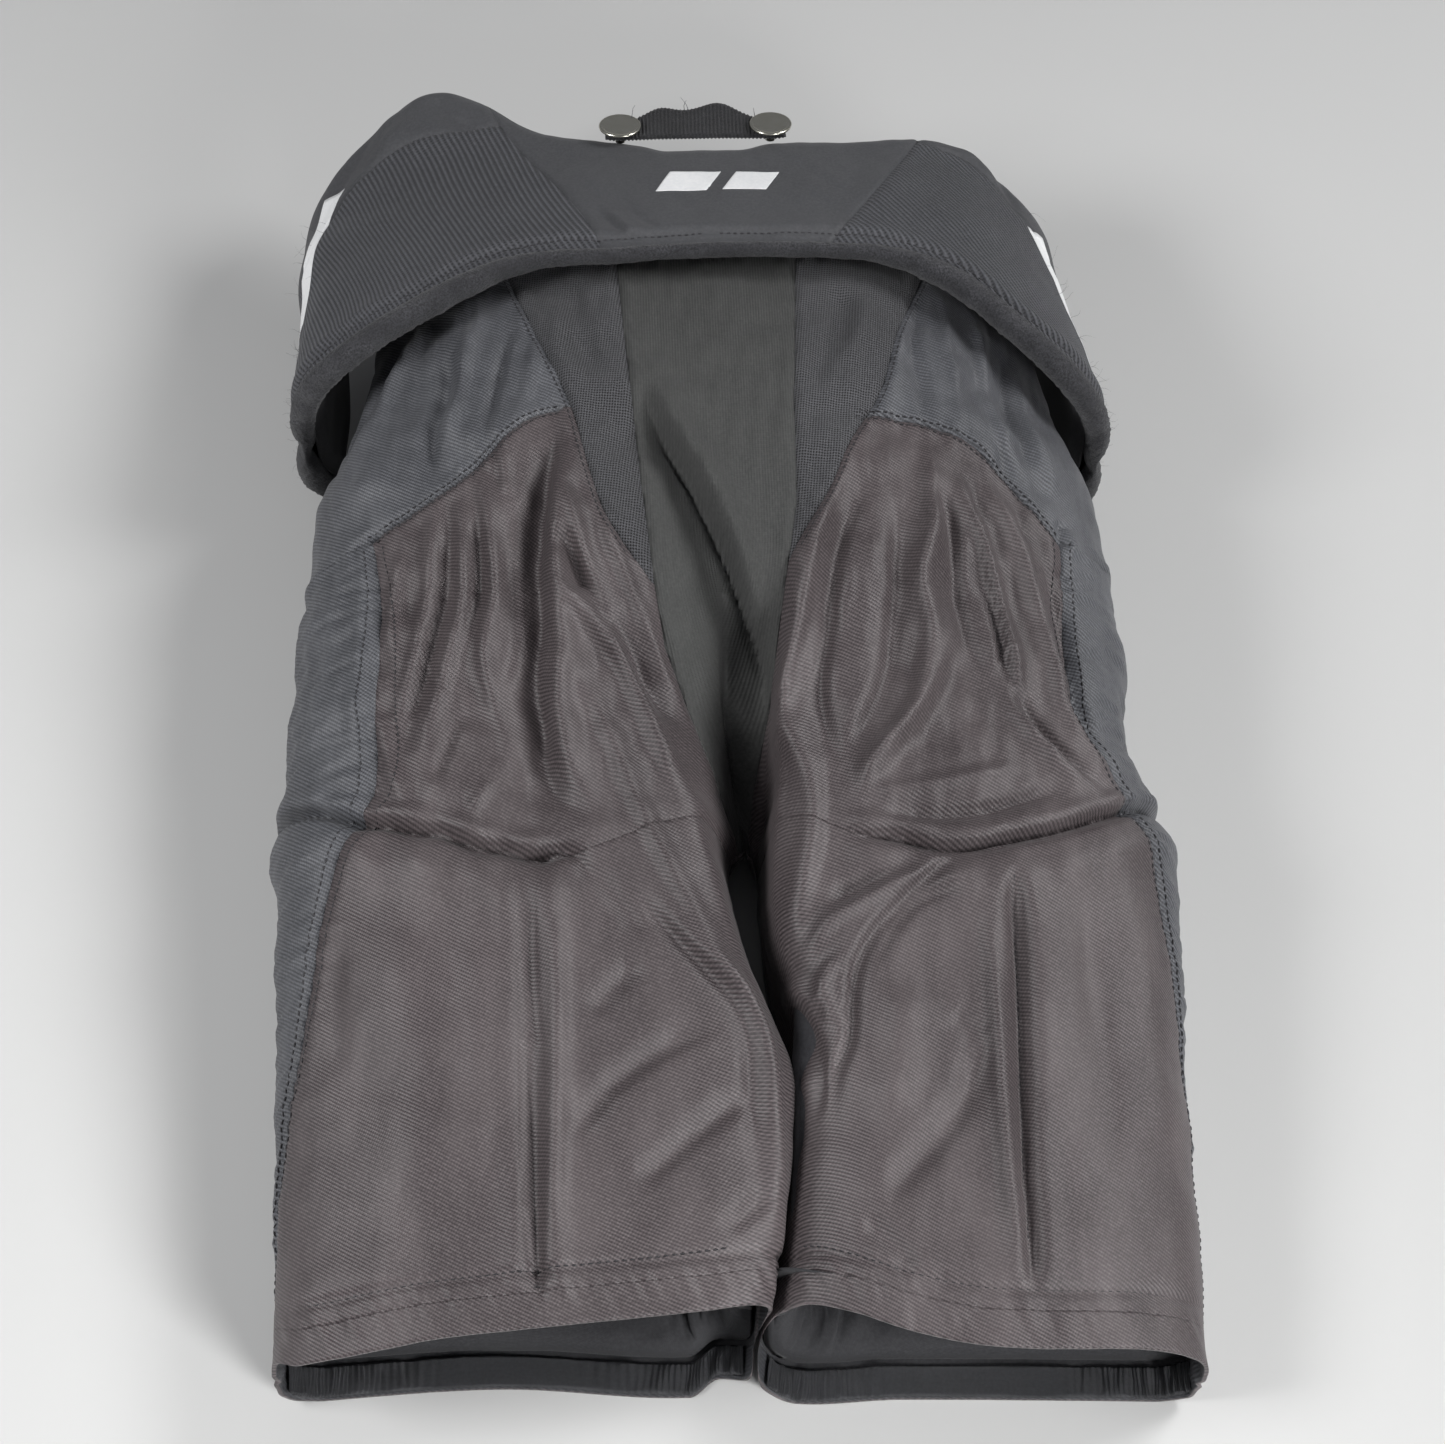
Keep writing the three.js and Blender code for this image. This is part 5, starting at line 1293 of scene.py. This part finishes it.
def make_guard(materials):
    """The kidney guard: covers, bindings, lining, foam, edge roll and prints."""
    covers, linings = [], []
    for side in (RIGHT, LEFT):
        cloth, arc_of = guard_grid(side)
        mid = guard_point(side, cloth.y, cloth.share, GUARD_THICKNESS / 2)
        cloth.cut(mid[:, 0] - GUARD_SEAM[side](mid[:, 1]))
        mid = guard_point(side, cloth.y, cloth.share, GUARD_THICKNESS / 2)
        above = mid[:, 1] - BINDING[side](mid[:, 0])
        cloth.cut(np.where(side * mid[:, 0] > BINDING_X, above, OFF_BINDING))
        outer = guard_outer(side, cloth.y, cloth.share)
        tri = cloth.triangles if side > 0 else cloth.triangles[:, ::-1]
        normals = side * normals_of(lambda a, b: guard_point(side, a, b, 6), cloth.y, cloth.share)
        weave = np.stack([side * arc_of(cloth.share), cloth.y, 0 * cloth.y], axis=1)
        spot = guard_point(side, cloth.y[tri].mean(1), cloth.share[tri].mean(1), GUARD_THICKNESS / 2)
        wing = side * (spot[:, 0] - GUARD_SEAM[side](spot[:, 1])) > 0
        band = wing & (spot[:, 1] > BINDING[side](spot[:, 0])) & (side * spot[:, 0] > BINDING_X)
        name = SIDE_NAME[side]
        for label, chosen, material in (("guard_wing_mesh", wing & ~band, "wing"),
                                        ("guard_wing_binding", band, "cover")):
            piece = thick_piece(f"{name}_{label}_skin", outer, normals, weave, tri[chosen],
                                materials[material], materials["lining"], COVER_THICKNESS)
            settle(piece, "kidney_guard", name + "_guard_wing_cover")
        covers.append((outer, normals, weave, tri[~wing], cloth.share == 0))
        inner = guard_inner(side, cloth.y, cloth.share)
        linings.append((inner, -normals, weave, tri[:, ::-1], cloth.share == 0))

        def kidney(v, u, lift, side=side):
            share = between(KIDNEY_SHARE, u)
            y = GUARD_LOW[side](share) + KIDNEY_ABOVE_EDGE + KIDNEY_HEIGHT * v
            return guard_point(side, y, share, 9.5 - 6 * lift)
        foam = slab_piece(name + "_kidney_cushion", kidney, 30, 50, materials["foam"])
        settle(foam, "kidney_guard", name + "_kidney_foam")

    for name, halves, material, thickness, slot in (
            ("guard_center_cover", covers, "cover", COVER_THICKNESS, "cover_cloth"),
            ("guard_lining", linings, "lining", GUARD_LINING_THICKNESS, "lining")):
        piece = thick_piece(name + "_skin", *one_mesh(halves), materials[material], materials["lining"],
                            thickness)
        settle(piece, "kidney_guard", name)

    def spine(v, u, lift):
        return guard_either_side(between(SPINE_Y, v), SPINE_SHARE * (2 * u - 1), 10 - 4.5 * lift)
    foam = slab_piece("spine_cushion", spine, 24, 30, materials["foam"])
    settle(foam, "kidney_guard", "spine_guard_foam")
    make_roll(materials)
    make_prints(materials)


def tube_faces(rings, around):
    """Faces of a closed tube of that many rings, with that many points round each."""
    faces = []
    for r in range(rings - 1):
        for k in range(around):
            a, b = r * around + k, r * around + (k + 1) % around
            faces.append([a, b, b + around, a + around])
    return faces + [list(range(around))[::-1], [(rings - 1) * around + k for k in range(around)]]


def unit(vectors):
    return vectors / np.linalg.norm(vectors, axis=-1, keepdims=True)


ROLL_STEPS, ROLL_AROUND, ROLL_DEPTH, ROLL_LENGTH = 520, 26, 5.6, 240


def make_roll(materials):
    """The padded roll along the free edge, thin in the middle and thick under the wings."""
    signed = np.linspace(-1, 1, ROLL_STEPS)
    share = np.abs(signed)
    edge = np.where(signed < 0, GUARD_LOW[LEFT](share), GUARD_LOW[RIGHT](share))
    width = 2.5 + 2.1 * smoothstep(share, 0.12, 0.34) + 0.25 * waves(signed * ROLL_LENGTH, share, 14, 71)
    height = 3.6 + 1.8 * smoothstep(share, 0.12, 0.3)
    y = edge - width * 0.75
    centre = guard_either_side(y, signed, ROLL_DEPTH)
    up = unit(guard_either_side(y, signed, ROLL_DEPTH - 1) - centre)
    down = unit(np.cross(unit(np.gradient(centre, axis=0)), up))
    rings = []
    for k in range(ROLL_AROUND):
        angle = 2 * np.pi * k / ROLL_AROUND
        rough = 1 + 0.05 * waves(signed * ROLL_LENGTH, share * 0 + 3 * k, 4, 72)
        rings.append(centre + down * (width * rough * math.cos(angle))[:, None]
                     + up * (height * rough * math.sin(angle))[:, None])
    vertices = np.stack(rings, axis=1).reshape(-1, 3)
    piece = add_object("guard_edge_padding", vertices, tube_faces(ROLL_STEPS, ROLL_AROUND), materials["roll"])
    settle(outward(piece), "kidney_guard", "guard_edge_roll")


PRINT_SIZE, PRINT_LIFT, PRINT_THICKNESS, PRINT_MIDDLE = 30, 0.25, 0.2, 4
PRINTS = {  # plain slanted blocks: corners in plan millimetres, or in share and y on the wings
    "center_print_1": ([(-17, 193), (3, 193), (9, 206), (-11, 206)], None),
    "center_print_2": ([(9, 193), (26, 193), (32, 206), (15, 206)], None),
    "left_wing_print": ([(0.70, 164), (0.78, 164), (0.62, 226), (0.55, 226)], LEFT),
    "right_wing_print": ([(0.70, 138), (0.78, 138), (0.62, 196), (0.55, 196)], RIGHT),
}


def share_at(side, x, y):
    """The guard's share that lies over plan x."""
    fine = np.linspace(0, 0.5, 300)
    flat_x, flat_y = np.ravel(x), np.ravel(y)
    out = [np.interp(a, side * guard_point(side, np.full(len(fine), b), fine, 0)[:, 0], fine)
           for a, b in zip(side * flat_x, flat_y)]
    return np.array(out).reshape(np.shape(x))


def make_prints(materials):
    """The plain blocks printed on the guard."""
    v, u = grid_of(PRINT_SIZE, PRINT_SIZE)
    for name, (corners, side) in PRINTS.items():
        c = np.array(corners, float)
        spot = (c[0] * ((1 - u) * (1 - v))[..., None] + c[1] * (u * (1 - v))[..., None]
                + c[2] * (u * v)[..., None] + c[3] * ((1 - u) * v)[..., None])
        x, y = spot[..., 0], spot[..., 1]
        if side is None:
            left, right = (guard_outer(half, y, share_at(half, limit(x, PRINT_MIDDLE), y), PRINT_LIFT)
                           for half, limit in ((LEFT, np.minimum), (RIGHT, np.maximum)))
            p = np.where((x < PRINT_MIDDLE)[..., None], left, right)
        else:
            p = guard_outer(side, y, x, PRINT_LIFT)
        tri = grid_triangles(PRINT_SIZE, PRINT_SIZE)
        p = p.reshape(-1, 3)
        n = unit(np.cross(p[tri[:, 1]] - p[tri[:, 0]], p[tri[:, 2]] - p[tri[:, 0]]).mean(0))
        if n @ np.array([0.8 * (side or 0), 0, 1.0]) < 0:
            tri, n = tri[:, ::-1], -n
        piece = thick_piece(name, p, np.tile(n, (len(p), 1)), np.zeros(p.shape), tri, materials["print"],
                            materials["print"], PRINT_THICKNESS)
        settle(piece, "kidney_guard")


# ---------------------------------------------------------------- suspender buttons and their loop

BUTTON_PLANE = np.array([0, 233.0, 102.68])
BUTTON_TILT = math.radians(17)
BUTTON_UP = np.array([0, math.sin(BUTTON_TILT), math.cos(BUTTON_TILT)])
BUTTON_BACK = np.array([0, math.cos(BUTTON_TILT), -math.sin(BUTTON_TILT)])
BUTTON_X = 30
# Outline of the turned cap: radius and height.
CAP = [(0.01, 4.2), (4, 4.25), (6.6, 4.15), (7.2, 4.3), (7.7, 4.5), (8.2, 4.45), (8.5, 4.0), (8.4, 3.5),
       (7.9, 3.1), (6.5, 2.8), (3, 2.7), (2.0, 2.6), (2.0, -3.0), (0.01, -3.0)]


def in_plane(x, back, up):
    """Points given beside the buttons' middle, in the plane of the loop."""
    across = BUTTON_PLANE + np.stack([x, 0 * x, 0 * x], -1)
    return across + back[..., None] * BUTTON_BACK + up[..., None] * BUTTON_UP


def make_buttons(materials):
    """The turned caps of the tack buttons."""
    around = 72
    angle = np.linspace(0, 2 * np.pi, around, endpoint=False)
    for side in (RIGHT, LEFT):
        rings = [in_plane(side * BUTTON_X + r * np.cos(angle), r * np.sin(angle), np.full(around, float(h)))
                 for r, h in CAP]
        piece = add_object(SIDE_NAME[side] + "_button_cap", np.concatenate(rings),
                           tube_faces(len(CAP), around), materials["nickel"])
        settle(outward(piece), SIDE_NAME[side] + "_button", SIDE_NAME[side] + "_suspender_button")


LOOP_X, LOOP_WIDTH, LOOP_THICKNESS, LOOP_RIB = (-36, 36), 11, 1.9, 1.5


def make_loop(materials):
    """The ribbed elastic: bowed back between the buttons, its back edge curling up in two humps."""
    def band(v, u, lift):
        x = between(LOOP_X, u)
        inside = np.clip(1 - (x / BUTTON_X) ** 2, 0, 1)
        hump = bump_at(x + 15, 2.6, 7) + bump_at(x - 11, 3.4, 9)
        back = -5.5 + 0.4 * inside + (LOOP_WIDTH + (4.6 + hump) * inside) * v
        curl = (3.0 * inside + 0.8 * hump * inside) * v**2
        rib = 0.28 * np.sin(x * 2 * np.pi / LOOP_RIB) * (lift - 0.5) * 2
        return in_plane(x, back, 0.1 + LOOP_THICKNESS * lift + curl + rib)
    piece = slab_piece("suspender_elastic", band, 20, 380, materials["elastic"], 0.08)
    settle(piece, "kidney_guard", "suspender_loop")


# ---------------------------------------------------------------- stitches, threads and lint

def shares_for(side, x, y):
    """The shell's shares on top, for plan points."""
    fine = np.linspace(0, 0.5, 700)
    out = []
    for a, b in zip(x, y):
        xs = side * shell_point(side, np.full(len(fine), float(b)), fine)[:, 0]
        widest = np.argmax(xs)
        out.append(np.interp(side * a, xs[: widest + 1], fine[: widest + 1]))
    return np.array(out)


def side_seam_share(side, y, offset):
    """The shell's shares that far above the side seam."""
    fine = np.linspace(0.22, 0.5, 300)
    out = []
    for b in y:
        z = shell_point(side, np.full(len(fine), float(b)), fine)[:, 2]
        out.append(np.interp(-(SIDE[side](b) + offset), -z, fine))
    return np.array(out)


STITCH_WIDTH, STITCH_HEIGHT, STITCH_GAP, STITCH_SUNK = 0.55, 0.4, 0.35, 0.15
# Along a stitch: how far, and how full it is there.
STITCH_RINGS = ((0, 0.2), (0.25, 1), (0.75, 1), (1, 0.2))


def stitch_boxes(points, normals, length):
    """Small rounded stitches along a line of surface points."""
    passed = passed_along(points)
    vertices, faces = [], []
    for k in range(max(1, int(passed[-1] / length))):
        ends = [(k + STITCH_GAP / 2) * length, (k + 1 - STITCH_GAP / 2) * length]
        a, b = (np.array([np.interp(e, passed, points[:, i]) for i in range(3)]) for e in ends)
        n = unit(np.array([np.interp(np.mean(ends), passed, normals[:, i]) for i in range(3)]))
        d = (b - a) / max(np.linalg.norm(b - a), 1e-6)
        w = np.cross(n, d) * STITCH_WIDTH / 2
        for way, full in STITCH_RINGS:
            spot, top = a + (b - a) * way, n * STITCH_HEIGHT * full
            low = n * STITCH_SUNK
            vertices += [spot - w * full - low, spot + w * full - low, spot + top + w * 0.4 * full,
                         spot + top - w * 0.4 * full]
        first = 4 * len(STITCH_RINGS) * k
        faces += [[first + i for i in face] for face in tube_faces(len(STITCH_RINGS), 4)]
    return vertices, faces


def joined(parts):
    vertices, faces = [], []
    for v, f in parts:
        faces += [[i + len(vertices) for i in face] for face in f]
        vertices += list(v)
    return vertices, faces


def offset_line(line, amount):
    """The plan line moved sideways, to its left for a positive amount."""
    line = np.array(line, float)
    d = np.gradient(line, axis=0)
    d /= np.linalg.norm(d, axis=1, keepdims=True)
    return line + amount * np.stack([-d[:, 1], d[:, 0]], axis=1)


def stitched_lines(side):
    """Plan lines with stitches: (line, stitch length)."""
    yoke = line_of(YOKE[side], (side * 56, side * 130), 60, by_y=False)
    hem = [(x, HEM_SEAM_Y - BACK_HEM(x)) for x in np.linspace(side * 12, side * 146, 80)]
    return [
        (offset_line(yoke, -1.8 * side), 2.6),
        (offset_line(yoke, 1.6 * side), 2.6),
        (offset_line(line_of(GUSSET[side], (32, 196), 80), -1.7 * side), 2.8),
        (line_of(CHANNEL[side], (-228, -90), 60), 3.0),
        (np.array(hem), 2.8),
    ]


def make_stitches(materials):
    """Stitches beside the shell's seams and along the guard's free edge."""
    for side in (RIGHT, LEFT):
        parts = []
        for line, length in stitched_lines(side):
            y_base = line[:, 1] + BACK_HEM(line[:, 0]) * on_hem(line[:, 1])
            points, normals, _ = relieved(side, y_base, shares_for(side, line[:, 0], y_base))
            parts.append(stitch_boxes(points, normals, length))
        y = np.linspace(-236, 46, 180)
        for offset in (1.8, -1.8):
            points, normals, _ = relieved(side, y, side_seam_share(side, y, offset))
            parts.append(stitch_boxes(points, normals, 2.8))
        piece = add_object(SIDE_NAME[side] + "_seam_stitches", *joined(parts), materials["thread"])
        settle(piece, side)
    parts = []
    for side in (RIGHT, LEFT):
        share = np.linspace(0.003, 0.97, 160)
        y = GUARD_LOW[side](share) + 4.4
        normals = side * normals_of(lambda a, b: guard_point(side, a, b, 6), y, share)
        parts.append(stitch_boxes(guard_outer(side, y, share), normals, 2.6))
    settle(add_object("guard_edge_stitches", *joined(parts), materials["thread"]), "kidney_guard")


HAIR_STEPS = 6


def hair(start, heading, length, radius, curl=0.5):
    """A thin curved fibre."""
    heading = np.array(heading, float) / np.linalg.norm(heading)
    bend = np.cross(heading, rng.normal(size=3))
    bend /= np.linalg.norm(bend)
    t = np.linspace(0, 1, HAIR_STEPS)[:, None]
    path = np.array(start) + heading * length * t + bend * length * curl * t**2
    path = path + 0.12 * length * np.cross(heading, bend) * np.sin(t * 5 + rng.uniform(0, 6))
    side = np.cross(heading, bend)
    vertices = []
    for p, share in zip(path, t[:, 0]):
        r = radius * (1 - 0.6 * share)
        vertices += [p + r * (math.cos(a) * bend + math.sin(a) * side) for a in (0, 2.1, 4.2)]
    return vertices, tube_faces(HAIR_STEPS, 3)


def make_lint(materials):
    """Brushed fibres along the guard's edge, frayed threads on the loop and a few stray ones."""
    parts = []
    for side in (RIGHT, LEFT):
        for _ in range(170):
            share = rng.uniform(0.02, 0.99)
            y = GUARD_LOW[side](share) + rng.uniform(-3, 3)
            start = guard_point(side, y, share, 1.0)
            out = guard_point(side, y, share, 0.0) - start
            heading = out / np.linalg.norm(out) * rng.uniform(0.3, 1) + rng.normal(size=3) * 0.7
            parts.append(hair(start, heading, rng.uniform(1.2, 4.0), 0.06))
        for _ in range(26):
            share = rng.uniform(0.55, 0.9)
            y = rng.uniform(GUARD_LOW[side](share), GUARD_HIGH[side](share) - 8)
            start = guard_outer(side, np.array(y), np.array(share))
            parts.append(hair(start, [side, rng.normal() * 0.6, 0.5], rng.uniform(3, 7), 0.07, 0.8))
    for x, back, length in ((-27, 5, 7), (-4, 9, 6), (-3, 8.6, 7.5), (24, 7, 3.5), (10, 11, 3)):
        start = in_plane(np.array(float(x)), np.array(float(back)), np.array(3.0))
        parts.append(hair(start, [rng.normal() * 0.3, 0.7, 0.7], length, 0.2, 0.3))
    settle(add_object("guard_loose_fibres", *joined(parts), materials["grey_thread"]), "kidney_guard")


# ---------------------------------------------------------------- what stays from the frame

KEPT = {"plate": "plastic", "buckle_frame": "plastic", "buckle_lever": "plastic", "buckle_pin": "nickel",
        "eyelet": "nickel"}


def dress_kept_nodes(materials):
    """Plates, eyelets and buckle stay as they are, with a material and fine bevels."""
    for name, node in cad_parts.items():
        found = [material for key, material in KEPT.items() if key in name]
        if node.hide_render or not found:
            continue
        node.data.materials.clear()
        node.data.materials.append(materials[found[0]])
        bevel = node.modifiers.new("bevel", "BEVEL")
        bevel.width, bevel.segments, bevel.limit_method = 0.35 * MM, 2, "ANGLE"


make_camera()
make_studio()
MATERIALS = make_materials()
SHARED_HALVES = {panel: [] for panel in SHARED}
for half_side in (RIGHT, LEFT):
    make_shell(half_side, MATERIALS, SHARED_HALVES)
    make_leg_lining(half_side, MATERIALS)
    make_hem_tape(half_side, MATERIALS)
make_shared_panels(SHARED_HALVES, MATERIALS)
make_pads(MATERIALS)
make_belt_and_tongue(MATERIALS)
make_guard(MATERIALS)
make_buttons(MATERIALS)
make_loop(MATERIALS)
make_stitches(MATERIALS)
make_lint(MATERIALS)
dress_kept_nodes(MATERIALS)
